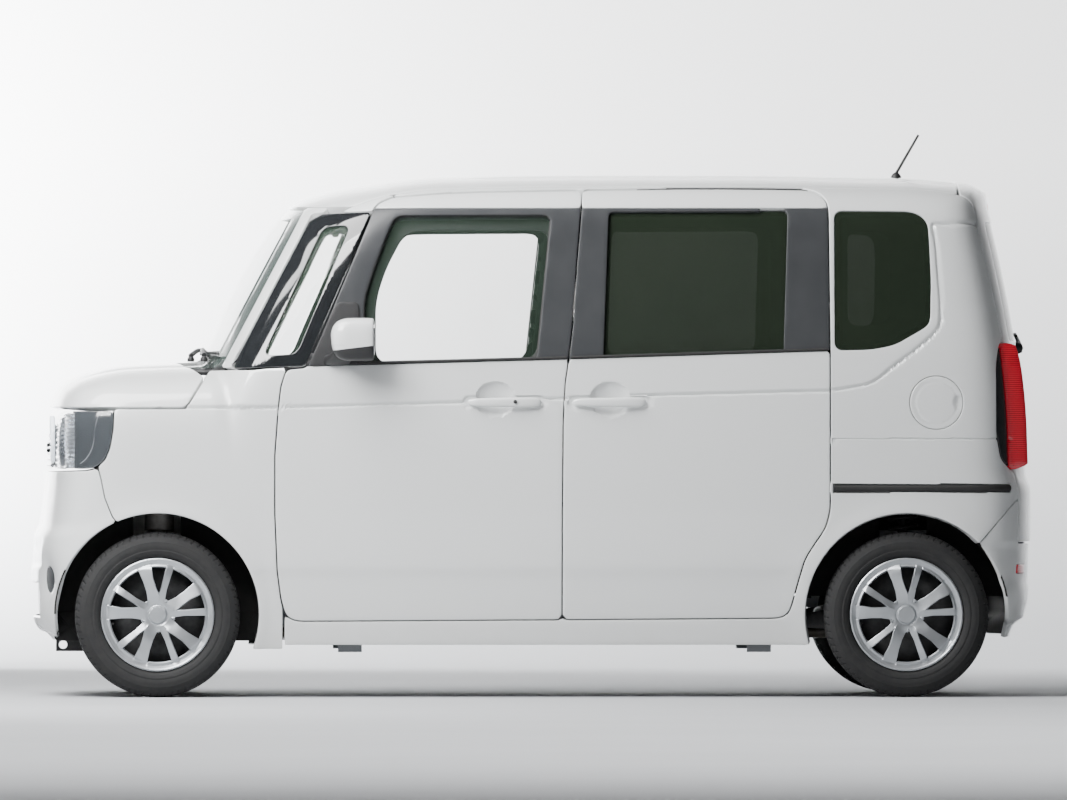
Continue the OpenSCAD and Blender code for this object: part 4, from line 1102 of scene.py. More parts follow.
for side, word in sides:
    for kind, ride in (("front", "front_door_" + word), ("slide", "body")):
        bar = handles[kind][0]
        w = np.linspace(-1, 1, 61)
        # the grip stands clear of the bowl in the middle and meets the door at both ends
        middle = onSide(bar + w * (handles["reach"] - 0.006), handles["z"] - 0.003 + 0 * w)
        swell = (1 - w ** 8).clip(0) ** 0.5
        halfHeight = (0.0155 - 0.002 * w) * swell + 0.0002
        lift = 0.012 + 0.010 * (1 - w * w)
        g = np.linspace(0, 2 * math.pi, 20, endpoint=False)
        cy = bent(np.cos(g), 0.75)
        cz = bent(np.sin(g), 0.75)
        thickHere = 0.0085 * swell + 0.0002
        p = np.stack([np.broadcast_to(middle[:, 0, None], (61, 20)),
                      middle[:, 1, None] - 0.004 + lift[:, None] * 0.85 + thickHere[:, None]
                      * cy[None, :], middle[:, 2, None] + halfHeight[:, None] * cz[None, :]],
                     -1).reshape(-1, 3) * [1, side, 1]
        grip = fixNormals(meshPiece(kind + "Handle_" + word, p, gridFaces(61, 20, False, True), white,
                                    sharp=60))
        capped(grip)
        settle(grip, ride)
    lockAt = onSide([handles["front"][0] - 0.036], [handles["z"] - 0.001])[0]
    fitting("keyhole_" + word, revolve([(0.0005, 0.0), (0.0062, 0.0), (0.0066, -0.002), (0.0066, -0.01),
            (0.0005, -0.01)], (lockAt[0], (lockAt[1] + 0.0265) * side, lockAt[2]), 1, 28, side),
            steelBlack, "front_door_" + word)

    # belt moulding, a rubber lip along the foot of each window
    for kind, ride, x0, x1 in (("front", "front_door_" + word, 0.60, -0.105),
                               ("slide", "body", -0.12, -0.985)):
        xs = np.linspace(x0, x1, 60)
        zs = np.interp(xs, [-0.993, -0.113, 0.9], [1.165, 1.137, 1.1095]) + 0.006
        fitting(kind + "BeltLip_" + word, tube(onSide(xs, zs, 0.0012) * [1, side, 1], 0.0052, 10),
                sealRubber, ride)
    # rubber seal round the front window
    loop = fillet(windowCorners, 0.035)
    fitting("windowSeal_" + word, tube((onSide(loop[:, 0], loop[:, 1], -0.006)) * [1, side, 1], 0.0042,
            8, True), sealRubber, "front_door_" + word)
    # sliding door's rail in its slot
    xs = np.linspace(-1.006, -1.596, 24)
    fitting("slideRail_" + word, tube(onSide(xs, railHeight + 0 * xs, -0.008) * [1, side, 1], 0.0135,
            10), sealRubber)

    # door mirror: painted cap above, black body below and a silvered glass behind
    mirror = {"centre": (0.607, 0.815, 1.203), "half": (0.083, 0.072, 0.073)}

    def capShape(p, unit):
        p = p.copy()
        p[:, 0] += 0.012 * (unit[:, 2] < 0) * unit[:, 2] - 0.014 * unit[:, 2].clip(0) ** 2
        p[:, 0] = np.where(p[:, 0] < -0.058, -0.058 + (p[:, 0] + 0.058) * 0.25, p[:, 0])
        p[:, 1] *= 1 - 0.1 * unit[:, 2].clip(0)
        return p

    cap = pillow("mirrorCap_" + word, mirror["centre"], mirror["half"], (0.55, 0.5), white, (64, 40),
                 capShape, side)
    work = bmesh.new()
    work.from_mesh(cap.data)
    bmesh.ops.bisect_plane(work, geom=work.verts[:] + work.edges[:] + work.faces[:],
                           plane_co=(0.6, 0, 1.176), plane_no=(0.12, 0, 1), clear_inner=True)
    bmesh.ops.holes_fill(work, edges=work.edges, sides=400)
    work.to_mesh(cap.data)
    work.free()
    cap.data.set_sharp_from_angle(angle=math.radians(40))
    settle(cap, "front_door_" + word, ("door_mirror_" + word,))
    settle(pillow("mirrorBase_" + word, mirror["centre"], tuple(h * 0.985 for h in mirror["half"]),
                  (0.55, 0.5), trimBlack, (64, 40), capShape, side), "front_door_" + word)
    settle(pillow("mirrorGlass_" + word, (0.5445, 0.815, 1.205), (0.004, 0.058, 0.055), (0.5, 0.35),
                  mirrorSilver, (48, 24), None, side), "front_door_" + word)
    settle(pillow("mirrorLamp_" + word, (0.655, 0.822, 1.184), (0.033, 0.064, 0.0055), (0.4, 0.6),
                  lampGlass, (48, 16), None, side), "front_door_" + word)
    # foot: a short arm carried from the door's corner to the housing
    w = np.linspace(0, 1, 14)
    way = np.stack([0.672 - 0.03 * w, 0.722 + 0.075 * w, 1.134 + 0.03 * w ** 2], 1)
    g = np.linspace(0, 2 * math.pi, 24, endpoint=False)
    wide, tall = 0.046 - 0.012 * w, 0.020 - 0.004 * w
    p = np.stack([way[:, 0, None] + wide[:, None] * bent(np.cos(g), 0.6),
                  np.broadcast_to(way[:, 1, None], (14, 24)),
                  way[:, 2, None] + tall[:, None] * bent(np.sin(g), 0.6)], -1).reshape(-1, 3)
    arm = fixNormals(meshPiece("mirrorArm_" + word, p * [1, side, 1], gridFaces(14, 24, False, True),
                               trimBlack))
    capped(arm)
    settle(arm, "front_door_" + word)
    # sail plate between the window and the door's front edge
    panel("mirrorSail_" + word, lambda x, y, z: inside(fillet([(0.765, 1.112), (0.592, 1.12),
            (0.592, 1.33), (0.668, 1.33)], 0.02), x, z), (0.55, 0.85), (0.75, 1.3), 0.012, 0.008,
          trimBlack, "front_door_" + word, side=side, sink=-0.004)
print("handles and mirrors made")

# antenna: a tapered foot and a thin rod wound with one fine spiral
antenna = {"foot": (-1.246, 0.0, 1.7555), "lean": math.radians(30), "length": 0.1522}
fitting("antennaFoot", revolve([(0.0005, 0), (0.018, 0), (0.0172, 0.005), (0.012, 0.013),
        (0.0075, 0.017), (0.0005, 0.018)], antenna["foot"], 2, 40), trimBlack, replaces=("antenna",))
w = np.linspace(0, 1, 120)
dirX, dirZ = -math.sin(antenna["lean"]), math.cos(antenna["lean"])
rod = np.stack([antenna["foot"][0] + dirX * w * antenna["length"], 0 * w,
                antenna["foot"][2] + 0.014 + dirZ * w * antenna["length"]], 1)
radius = 0.0050 - 0.0010 * w + 0.0004 * np.sin(w * 120) + 0.0006 * (w > 0.975)
fitting("antennaRod", tube(rod, radius, 12), trimBlack)

# cowl with its grid, two wipers in front of the screen and one behind
def cowlZone(x, y, z):
    bend = (y / 0.65) ** 2
    f = np.minimum(np.where((x > 1.0) & (x < 1.3), 0.66 - np.abs(y), -1), 1.221 - 0.126 * bend - x)
    return np.minimum(np.minimum(f, x - (1.103 - 0.075 * bend) + 0.004), z - 1.1)


panel("cowlTop", cowlZone, (0.95, 1.3), (1.2, tEnd), 0.011, 0.012, trimBlack, replaces=("cowl",),
      both=True, sink=0.006, relief=lambda x, y, z: 0.004
      * (0.5 + 0.5 * np.cos(y * 2 * math.pi / 0.022)) * (y < 0.5))
fineS, fineT = [g.ravel() for g in np.meshgrid(np.linspace(0.85, 1.25, 500),
        np.linspace(1.0, tEnd, 500))]
screenPoints = skin(fineS, fineT)


def onScreen(y, z):
    # how far forward the screen is at given places, from the nearest of many points on it
    near = [np.argmin((screenPoints[:, 1] - abs(a)) ** 2 + (screenPoints[:, 2] - b) ** 2)
            for a, b in zip(y, z)]
    found = screenPoints[near, 0]
    return np.convolve(np.r_[found[:1].repeat(3), found, found[-1:].repeat(3)], np.ones(7) / 7, "valid")


wiper = {"roots": ((1.112, 0.50), (1.150, -0.12)), "reach": 0.56}
for k, (rootX, rootY) in enumerate(wiper["roots"]):
    ys = np.linspace(rootY, rootY - wiper["reach"], 40)
    zs = 1.152 + 0.012 * (ys - rootY) / -wiper["reach"]
    glassX = onScreen(ys, zs)
    blade = np.stack([glassX + 0.010, ys, zs + 0.004], 1)
    fitting("wiperBlade_%d" % k, tube(blade, 0.0045, 8), sealRubber)
    arm = np.stack([np.linspace(rootX, glassX[20] + 0.020, 14), np.linspace(rootY, ys[20], 14),
                    1.146 + 0.024 * np.sin(np.linspace(0.2, 2.6, 14))], 1)
    fitting("wiperArm_%d" % k, tube(arm, np.linspace(0.009, 0.0055, 14), 10), trimBlack)
    fitting("wiperHub_%d" % k, revolve([(0.0005, 0.0), (0.012, 0.0), (0.0125, 0.009), (0.009, 0.016),
            (0.0005, 0.0175)], (rootX, rootY, 1.130), 2, 28), trimBlack)


def onTail(y, z, proud=0.0):
    # points on the back face at given places
    y, z = np.broadcast_arrays(np.asarray(y, float), np.asarray(z, float))
    b = (np.abs(y) / curve(sideLine, z)).clip(0, 0.999)
    u = (1 - b ** body["tailRound"]) ** (1 / body["endSquare"])
    x = -u * halfLength + ease((u - 0.7) / 0.3) * (curve(tailLine, z) + halfLength)
    return np.stack([x - proud, y, z], -1)


w = np.linspace(0, 1, 30)
blade = onTail(0.05 - 0.36 * w, 1.218 + 0.012 * w, 0.010)
fitting("rearWiperBlade", tube(blade, 0.005, 8), sealRubber, "tailgate")
arm = np.concatenate([onTail(0.075 - 0.2 * w, 1.176 + 0.048 * w ** 2, 0.016 + 0.004 * np.sin(w * 3))])
fitting("rearWiperArm", tube(arm, np.linspace(0.011, 0.006, 30), 10), trimBlack, "tailgate")
at = onTail(0.075, 1.176, 0.0)
fitting("rearWiperHub", revolve([(0.0005, 0.024), (0.014, 0.023), (0.019, 0.012), (0.021, -0.004),
        (0.0005, -0.004)], (at[0], at[1], at[2]), 0, 32, -1), trimBlack, "tailgate")
# tailgate handle strip above the plate, the high stop lamp and the plate with its two bolts
panel("tailgateGrip", lambda x, y, z: np.where(x < -1.5,
        np.minimum(0.20 - np.abs(y), 0.016 - np.abs(z - 1.022)), -1), (-sEnd, -1.9),
      (upTo(0.95), upTo(1.1)), 0.008, 0.012, trimBlack, "tailgate", both=True, sink=-0.006, edge=0.005)
panel("stopLamp", lambda x, y, z: np.where(x < -1.4,
        np.minimum(0.13 - np.abs(y), 0.011 - np.abs(z - 1.655)), -1), (-sEnd, -1.5), (upTo(1.55), 1.9),
      0.008, 0.012, redLens, "tailgate", both=True, sink=-0.0015, edge=0.003)


def plateRidge(y, z):
    # 1 on the embossed rim of the blank plate, 0 away from it
    edge = np.maximum((np.abs(y) - 0.1485) / 0.0165, (np.abs(z - 0.9025) - 0.066) / 0.0165)
    return np.exp(-((edge - 0.45) / 0.22) ** 2)


def plateZone(x, y, z):
    # rounded corners and two bolt holes
    corner = np.hypot((np.abs(y) - 0.150).clip(0), (np.abs(z - 0.9025) - 0.0675).clip(0))
    return np.minimum(0.014 - corner, np.hypot(np.abs(y) - 0.105, z - 0.965) - 0.0033)


u, v, tris = clipGrid(lambda a, b: np.stack([-1.6672 - 0.0010 * plateRidge(a, b), a, b], 1), plateZone,
                      np.linspace(-0.165, 0.165, 90), np.linspace(0.82, 0.985, 46))
points = np.stack([-1.6669 - 0.0009 * plateRidge(u, v), u, v], 1)
# u runs to the left and v up, which seen from behind is clockwise, so the faces are turned round
if normalsOf(points, tris)[:, 0].mean() > 0:
    tris = tris[:, ::-1]
points, tris, _ = closedSheet(points, tris, 0.0012, 0.0004)
settle(meshPiece("plateBlank", points, tris, plateWhite), "tailgate", ("number_plate",))
for k, y in enumerate((-0.105, 0.105)):
    fitting("plateBolt_%d" % k, revolve([(0.0005, 0.0035), (0.0055, 0.0030), (0.0068, 0.0012),
            (0.0068, 0.0), (0.003, 0.0), (0.003, -0.016), (0.0005, -0.016)], (-1.6675, y, 0.965), 0, 24,
            -1), chrome, "tailgate")
# black plates inside the wheel arches, standing for dark liners and for painted shade deep in the
# arches, and the rear spring and damper in their opening
for side, word in sides:
    # each plate shuts a view through an arch with black: liner and painted shade in one
    shadeAndLinerPlates = []
    for x, y, z, half in ((1.567, 0.402, 0.236, (0.049, 0.003, 0.049)),
                          (0.973, 0.402, 0.236, (0.049, 0.003, 0.049)),
                          (-1.25, 0.345, 0.62, (0.105, 0.003, 0.125))):
        q = np.linspace(0, 2 * math.pi, 40, endpoint=False)
        rows = []
        for scale, shift in ((0.02, 1.0), (0.9, 1.0), (0.985, 0.7), (1.0, 0.0), (0.985, -0.7),
                             (0.9, -1.0), (0.02, -1.0)):
            cx, cz = np.cos(q), np.sin(q)
            rows.append(np.stack([x + half[0] * scale * bent(cx, 0.25),
                                  y + half[1] * shift + 0.002 * np.cos(q * 8) * scale,
                                  z + half[2] * scale * bent(cz, 0.25)], 1))
        shadeAndLinerPlates.append((np.concatenate(rows) * [1, side, 1], gridFaces(7, 40, False, True).tolist()))
    p, f = joined(shadeAndLinerPlates)
    shadeAndLinerPlate = meshPiece("archShadeAndLiner_" + word, p, f, linerBlack)
    capped(shadeAndLinerPlate)
    settle(shadeAndLinerPlate, "body")
    w = np.linspace(0, 1, 260)
    coil = np.stack([-1.25 + 0.046 * np.cos(w * 11 * math.pi), 0.425 + 0.046 * np.sin(w * 11 * math.pi),
                     0.47 + 0.17 * w], 1)
    fitting("rearCoil_" + word, tube(coil * [1, side, 1], 0.0062, 10), steelBlack)
    fitting("rearDamper_" + word, revolve([(0.0005, -0.13), (0.017, -0.13), (0.018, 0.02),
            (0.012, 0.024), (0.012, 0.10), (0.03, 0.104), (0.03, 0.112), (0.0005, 0.112)],
            (-1.25, 0.425 * side, 0.55), 2, 36), steelBlack)
print("fittings made")

# Wheels.
tyre = {"pitches": 70, "groove": 0.0065, "cut": 0.0045, "fineCut": 0.003}
sideProfile = [(0.1778, 0.0590), (0.190, 0.0612), (0.1945, 0.0662), (0.199, 0.0712), (0.206, 0.0742),
               (0.2095, 0.0748), (0.2115, 0.0758), (0.216, 0.0762), (0.2185, 0.0752), (0.224, 0.0764),
               (0.230, 0.0768), (0.236, 0.0766), (0.242, 0.0752), (0.2445, 0.0752), (0.2465, 0.0738),
               (0.252, 0.0712), (0.258, 0.0676), (0.2625, 0.0648), (0.2665, 0.0615), (0.2700, 0.0575)]
tread = [(0.2727, 0.0545), (0.2748, 0.050), (0.2758, 0.045), (0.2764, 0.0402), (0.2766, 0.0375),
         (0.2766, 0.0372), (0.2766, 0.0318), (0.2767, 0.0315), (0.2772, 0.025), (0.2775, 0.0165),
         (0.2776, 0.0148), (0.2776, 0.0145), (0.2776, 0.0095), (0.2777, 0.0092), (0.278, 0.0)]
half = sideProfile + tread
tyreProfile = half + [(r, -a) for r, a in half[-2::-1]] + [(0.1778, -0.03), (0.1778, 0.03)]
wheelParts = {end + "_" + word: (body[end + "Axle"], side, "wheel_" + end + "_" + word)
              for end in ("front", "rear") for side, word in sides}
spokes = {"count": 5, "wide": 3.0, "narrow": 33.0, "rim": 0.163, "hub": 0.058, "radius": 0.1915}
wideSpoke = [(0.03, -0.022), (0.085, -0.0165), (0.12, -0.0185), (0.178, -0.0275), (0.178, 0.0235),
             (0.12, 0.0165), (0.085, 0.0185), (0.03, 0.026)]
narrowSpoke = [(0.03, -0.0135), (0.09, -0.0105), (0.178, -0.0125), (0.178, 0.0125), (0.09, 0.0085),
               (0.03, 0.0135)]


def spokeField(x, z):
    # distance inside the spokes, and how far across the nearest spoke a point is
    best, tilt = np.full(len(x), -1.0), np.zeros(len(x))
    for outline, start, slope in ((wideSpoke, spokes["wide"], 1.0),
                                  (narrowSpoke, spokes["narrow"], -1.4)):
        for k in range(spokes["count"]):
            g = math.radians(start + k * 360 / spokes["count"])
            px, pz = x * math.cos(g) + z * math.sin(g), -x * math.sin(g) + z * math.cos(g)
            d = inside(outline, px, pz)
            tilt = np.where(d > best, pz * slope, tilt)
            best = np.maximum(best, d)
    return best, tilt


def coverPlace(a, b):
    # the cover's face: a shallow crown, dished at the middle, each spoke folded along one edge
    r = np.hypot(a, b)
    crown = 0.067 + 0.009 * ease((r - 0.03) / 0.07) * (1 - ease((r - 0.13) / 0.06))
    best, tilt = spokeField(a, b)
    fold = np.where(best > 0, tilt.clip(-0.03, 0.03) * 0.26,
                    0) * ease((0.182 - r) / 0.03) * ease((r - 0.035) / 0.03)
    lip = 0.0035 * np.exp(-((r - 0.186) / 0.004) ** 2) - 0.004 * np.exp(-((r - 0.170) / 0.006) ** 2)
    cap = 0.006 * ease((0.0305 - r) / 0.003) - 0.002 * np.exp(-((r - 0.034) / 0.003) ** 2)
    return np.stack([a, crown + fold + lip + cap, b], 1)


def coverZone(x, y, z):
    r = np.hypot(x, z)
    best, _ = spokeField(x, z)
    solid = np.maximum(np.maximum(best, spokes["hub"] - r), r - spokes["rim"])
    return np.minimum(solid, spokes["radius"] - r) - 0.0012


coverGrid = np.linspace(-0.1935, 0.1935, 155)
u, v, coverTris = clipGrid(lambda a, b: np.stack([a, 0 * a, b], 1), coverZone, coverGrid, coverGrid)
coverPoints = coverPlace(u, v)
if normalsOf(coverPoints, coverTris)[:, 1].mean() < 0:
    coverTris = coverTris[:, ::-1]
coverPoints, coverTris, _ = closedSheet(coverPoints, coverTris, 0.0075, 0.0012)
rimProfile = [(0.1775, -0.060), (0.190, -0.0615), (0.1905, -0.0655), (0.186, -0.066), (0.174, -0.062),
              (0.172, -0.05), (0.168, -0.02), (0.162, 0.0), (0.165, 0.03), (0.172, 0.05), (0.175, 0.06),
              (0.186, 0.0645), (0.1875, 0.0655), (0.189, 0.0640), (0.1885, 0.0605), (0.1775, 0.0585),
              (0.1758, 0.03), (0.1758, -0.03)]
discProfile = [(0.0142, -0.01), (0.060, -0.012), (0.075, -0.002), (0.10, 0.008), (0.13, 0.004),
               (0.155, -0.004), (0.165, -0.012), (0.166, -0.009), (0.156, -0.0005), (0.13, 0.008),
               (0.10, 0.012), (0.073, 0.002), (0.058, -0.008), (0.0142, -0.006)]
drumProfile = [(0.0145, -0.075), (0.105, -0.075), (0.112, -0.07), (0.112, -0.035), (0.104, -0.030),
               (0.06, -0.028), (0.0145, -0.028)]
for word, (x, side, ride) in wheelParts.items():
    centre = (x, side * 0.6525, body["axleHeight"])

    def treadWave(g, r, a):
        # three grooves run round; on the shoulders a cut every pitch, and fine cuts on the ribs
        across = np.abs(a)
        ring = ((across > 0.0093) & (across < 0.0148)) | ((across > 0.0316) & (across < 0.0374))
        pitch = (g * tyre["pitches"] / (2 * math.pi) + np.where(a > 0, 0.0, 0.5) + across * 9) % 1.0
        shoulder = (across > 0.0376) & (across < 0.0646) & (r > 0.262) & (pitch < 0.17)
        fine = (across < 0.0315) & (across > 0.015) & ((pitch + 0.4) % 0.5 < 0.09) & (r > 0.27)
        return -(tyre["groove"] * ring * (r > 0.27) + tyre["cut"] * shoulder * (1 - ring)
                 + tyre["fineCut"] * fine)

    p, f = revolve(tyreProfile, centre, 1, 420, side, treadWave)
    piece = meshPiece("tyreDetail_" + word, p, f, rubber, sharp=32)
    settle(fixNormals(piece), ride, ("tyre_" + word,))
    p = coverPoints * [1, side, 1] + centre
    piece = meshPiece("wheelCover_" + word, p, coverTris if side > 0 else coverTris[:, ::-1],
                      coverSilver, sharp=24)
    settle(piece, ride, ("wheel_" + word,))
    fitting("steelRim_" + word, revolve(rimProfile, centre, 1, 120, side), steelBlack, ride)
    fitting("wheelDisc_" + word, revolve(discProfile, centre, 1, 96, side), steelBlack, ride)
    fitting("brakeDrum_" + word, revolve(drumProfile, centre, 1, 72, side), brakeIron, ride)
    nuts = []
    for k in range(4):
        g = math.radians(45 + 90 * k)
        spot = (centre[0] + 0.05 * math.cos(g), centre[1], centre[2] + 0.05 * math.sin(g))
        nuts.append(revolve([(0.0005, 0.014), (0.007, 0.012), (0.0095, 0.004), (0.0095, -0.010),
                             (0.0005, -0.010)], spot, 1, 6, side))
    fitting("wheelNuts_" + word, joined(nuts), chrome, ride, sharp=25)
    valve = [(centre[0] + 0.152, centre[1] + side * 0.02, centre[2] - 0.03),
             (centre[0] + 0.150, centre[1] + side * 0.055, centre[2] - 0.03)]
    fitting("tyreValve_" + word, tube(np.linspace(*np.array(valve), 6), 0.004, 10), sealRubber, ride)
print("wheels made")

# Cabin.
def leaned(points, degrees, origin):
    # turned back about the sideways axis, then moved to its place
    c, s = math.cos(math.radians(degrees)), math.sin(math.radians(degrees))
    x, z = points[:, 0].copy(), points[:, 2].copy()
    return np.stack([c * x - s * z, points[:, 1], s * x + c * z], 1) + origin


def swollen(piece, voxel, pressure, cap):
    # the pad is blown up as cloth, each point kept within cap of where it began
    remesh = piece.modifiers.new("even", "REMESH")
    remesh.mode, remesh.voxel_size = "VOXEL", voxel
    view = bpy.context.evaluated_depsgraph_get()
    start = bpy.data.meshes.new_from_object(piece.evaluated_get(view))
    soft = bpy.data.objects.new(piece.name, start)
    bpy.context.scene.collection.objects.link(soft)
    name = piece.name
    bpy.data.objects.remove(piece)
    soft.name = name
    before = np.empty(len(start.vertices) * 3)
    start.vertices.foreach_get("co", before)
    cloth = soft.modifiers.new("cloth", "CLOTH")
    cloth.settings.quality = 5
    cloth.settings.mass = 0.3
    cloth.settings.use_pressure = True
    cloth.settings.uniform_pressure_force = pressure
    cloth.settings.effector_weights.gravity = 0
    cloth.point_cache.frame_start, cloth.point_cache.frame_end = 1, 20
    for step in range(1, 21):
        bpy.context.scene.frame_set(step)
    view = bpy.context.evaluated_depsgraph_get()
    after = np.empty_like(before)
    soft.evaluated_get(view).data.vertices.foreach_get("co", after)
    move = (after - before).reshape(-1, 3)
    far = np.linalg.norm(move, axis=1, keepdims=True).clip(1e-9)
    before = (before.reshape(-1, 3) + move * np.minimum(1, cap / far)).ravel()
    soft.modifiers.clear()
    bpy.context.scene.frame_set(1)
    start.vertices.foreach_set("co", before)
    start.update()
    smooth = soft.modifiers.new("smooth", "SUBSURF")
    smooth.levels = smooth.render_levels = 1
    view = bpy.context.evaluated_depsgraph_get()
    done = bpy.data.meshes.new_from_object(soft.evaluated_get(view))
    soft.modifiers.clear()
    soft.data = done
    soft.data.materials.clear()
    soft.data.materials.append(seatCloth)
    soft.data.polygons.foreach_set("use_smooth", np.ones(len(soft.data.polygons), bool))
    return soft


def seamed(piece, degrees, origin, lines, ring):
    # sewn channels: points near a seam go in along their normals by a narrow bell curve
    n = len(piece.data.vertices)
    p, m = np.empty(n * 3), np.empty(n * 3)
    piece.data.vertices.foreach_get("co", p)
    piece.data.vertices.foreach_get("normal", m)
    p, m = p.reshape(-1, 3), m.reshape(-1, 3)
    local = leaned(p - origin, -degrees, 0)
    depth = np.zeros(n)
    for axis, where, low, high, across in lines:
        near = np.abs(local[:, axis] - where)
        depth = np.maximum(depth, 0.007 * np.exp(-(near / 0.007) ** 2) * (local[:, across] > low)
                           * (local[:, across] < high))
    if ring:
        depth = np.maximum(depth, 0.005 * np.exp(-((local[:, ring[0]] - ring[1]) / 0.006) ** 2))
    p = p - m * depth[:, None]
    piece.data.vertices.foreach_set("co", p.ravel())
    piece.data.update()
    return piece


def pad(name, half, degrees, origin, centre, lines, ring, cap=0.024, power=(0.32, 0.4), replaces=()):
    # a seat pad is made a little small, blown up as cloth and sewn
    local = roundedBlock(power, (72, 40)) * half * 0.93 + centre
    piece = fixNormals(meshPiece(name, leaned(local, degrees, origin), gridFaces(72, 40, True, False),
                                 seatCloth))
    piece = swollen(piece, 0.0125, 4.0, cap)
    piece = seamed(piece, degrees, np.array(origin), lines, ring)
    settle(piece, "body", replaces)
    return piece


for side, word in sides:
    y = 0.31 * side
    pad("frontCushion_" + word, (0.245, 0.25, 0.072), 0, (0.0, 0.0, 0.0), (0.222, y, 0.597),
        [(1, y - 0.155, 0.6, 9, 2), (1, y + 0.155, 0.6, 9, 2), (0, 0.08, 0.6, 9, 2),
         (0, 0.22, 0.6, 9, 2)], (2, 0.60), replaces=("front_seats",) if side > 0 else ())
    pad("frontBack_" + word, (0.056, 0.245, 0.29), 12, (-0.03, 0, 0.6), (-0.063, y, 0.318),
        [(1, y - 0.15, -0.05, 9, 0), (1, y + 0.15, -0.05, 9, 0), (2, 0.20, -0.05, 9, 0),
         (2, 0.42, -0.05, 9, 0)], (0, -0.075))
    pad("frontHeadrest_" + word, (0.042, 0.122, 0.078), 8, (-0.17, 0, 1.24), (0.005, y, 0.102), [],
        (0, 0.0), 0.012)
    for k, post in enumerate((-0.06, 0.06)):
        way = leaned(np.array([[0.0, y + post, -0.06 + 0.02 * i] for i in range(7)]), 8,
                     (-0.17, 0, 1.24))
        fitting("headrestPost_%s_%d" % (word, k), tube(way, 0.006, 12), chrome)
    settle(pillow("seatBase_" + word, (0.22, 0.31, 0.428), (0.195, 0.205, 0.088), (0.2, 0.25),
                  trimBlack, (64, 24), None, side))
    pad("rearHeadrest_" + word, (0.036, 0.112, 0.066), 0, (0, 0, 0), (-1.02, 0.27 * side, 1.268), [],
        (0, -1.02), 0.012)
pad("rearCushion", (0.232, 0.53, 0.066), 0, (0.0, 0.0, 0.0), (-0.652, 0.0, 0.592),
    [(1, -0.27, 0.6, 9, 2), (1, 0.27, 0.6, 9, 2), (1, 0.0, 0.6, 9, 2), (0, -0.62, 0.6, 9, 2)],
    (2, 0.60), replaces=("rear_seat",))
pad("rearBack", (0.05, 0.53, 0.27), 16, (-0.89, 0, 0.6), (-0.058, 0.0, 0.29),
    [(1, -0.27, -0.05, 9, 0), (1, 0.27, -0.05, 9, 0), (1, 0.0, -0.05, 9, 0), (2, 0.30, -0.05, 9, 0)],
    (0, -0.07))
settle(pillow("rearSeatBase", (-0.67, 0.0, 0.428), (0.185, 0.475, 0.088), (0.2, 0.25), trimBlack,
              (96, 24)))
print("seats made")

# steering wheel, column and the screen beyond it
wheelAt = np.array([0.56, -0.345, 1.075])
slant = math.radians(62)
g = np.linspace(0, 2 * math.pi, 120, endpoint=False)


def onWheel(a, b, h):
    # a across the car, b up the wheel's face and h along its column
    return wheelAt + np.stack([np.asarray(b) * math.cos(slant) * 0.999 - np.asarray(h)
                               * math.sin(slant), np.asarray(a) + 0 * np.asarray(b),
                               np.asarray(b) * math.sin(slant) + np.asarray(h) * math.cos(slant)], -1)


fitting("steeringRim", tube(onWheel(0.172 * np.cos(g), 0.172 * np.sin(g), 0 * g),
                            0.0125 + 0.0012 * np.cos(g * 4), 18, True), trimBlack,
        replaces=("steering_wheel",))
for k, a in enumerate((0.0, math.pi, -math.pi / 2)):
    w = np.linspace(0.03, 0.168, 10)
    fitting("steeringSpoke_%d" % k, tube(onWheel(w * math.cos(a), w * math.sin(a),
            -0.012 + 0.01 * (w / 0.168) ** 2), np.linspace(0.019, 0.012, 10), 14), trimBlack)
w = np.linspace(0, 2 * math.pi, 48, endpoint=False)
rings = []
for r, h in ((0.004, 0.010), (0.03, 0.009), (0.05, 0.004), (0.06, -0.006), (0.062, -0.02),
             (0.05, -0.032), (0.022, -0.036), (0.02, -0.07), (0.004, -0.072)):
    rings.append(onWheel(r * np.cos(w), r * 0.9 * np.sin(w), h + 0 * w))
p = np.concatenate(rings)
hub = fixNormals(meshPiece("steeringHub", p, gridFaces(9, 48, False, True), trimBlack))
capped(hub)
settle(hub, "body")
settle(pillow("dashScreen", (0.668, 0.0, 1.115), (0.012, 0.118, 0.066), (0.25, 0.3), glossBlack,
              (48, 24)))
settle(pillow("dashHood", (0.74, -0.345, 1.118), (0.09, 0.17, 0.042), (0.5, 0.7), trimBlack, (64, 32)))
for k, y in enumerate((-0.52, -0.17, 0.17, 0.52)):
    settle(pillow("dashVent_%d" % k, (0.648, y, 1.02), (0.008, 0.045, 0.026), (0.3, 0.35), glossBlack,
                  (40, 20)))
settle(pillow("innerMirror", (0.66, 0.0, 1.585), (0.012, 0.115, 0.032), (0.45, 0.45), trimBlack,
              (56, 28)))
settle(pillow("gearSelector", (0.655, -0.13, 0.965), (0.026, 0.018, 0.03), (0.7, 0.7), trimBlack,
              (32, 20)))

# dark inner frames behind the side windows
innerFront = fillet([(0.432, 1.58), (-0.052, 1.582), (-0.004, 1.142), (0.535, 1.128), (0.535, 1.34),
                     (0.5, 1.45)], 0.05)
innerSlide = fillet([(-0.262, 1.59), (-0.80, 1.592), (-0.79, 1.17), (-0.245, 1.155)], 0.04)
innerRear = fillet([(-1.055, 1.58), (-1.175, 1.58), (-1.2, 1.55), (-1.2, 1.29), (-1.18, 1.26),
                    (-1.055, 1.255)], 0.04)
for side, word in sides:
    for name, outer, inner, ride, sRange in (
            ("doorInner_", frontWindow, innerFront, "front_door_" + word, (-0.12, 0.72)),
            ("slideInner_", slideWindow, innerSlide, "body", (-0.92, -0.16)),
            ("rearInner_", rearWindow, innerRear, "body", (-1.40, -0.95))):
        panel(name + word, lambda x, y, z, o=outer, i=inner: np.minimum(inside(o, x, z) + 0.014,
                -inside(i, x, z)), sRange, (0.8, 1.52), 0.014, 0.01, trimBlack, ride, side=side,
              sink=0.05)
print("cabin made")

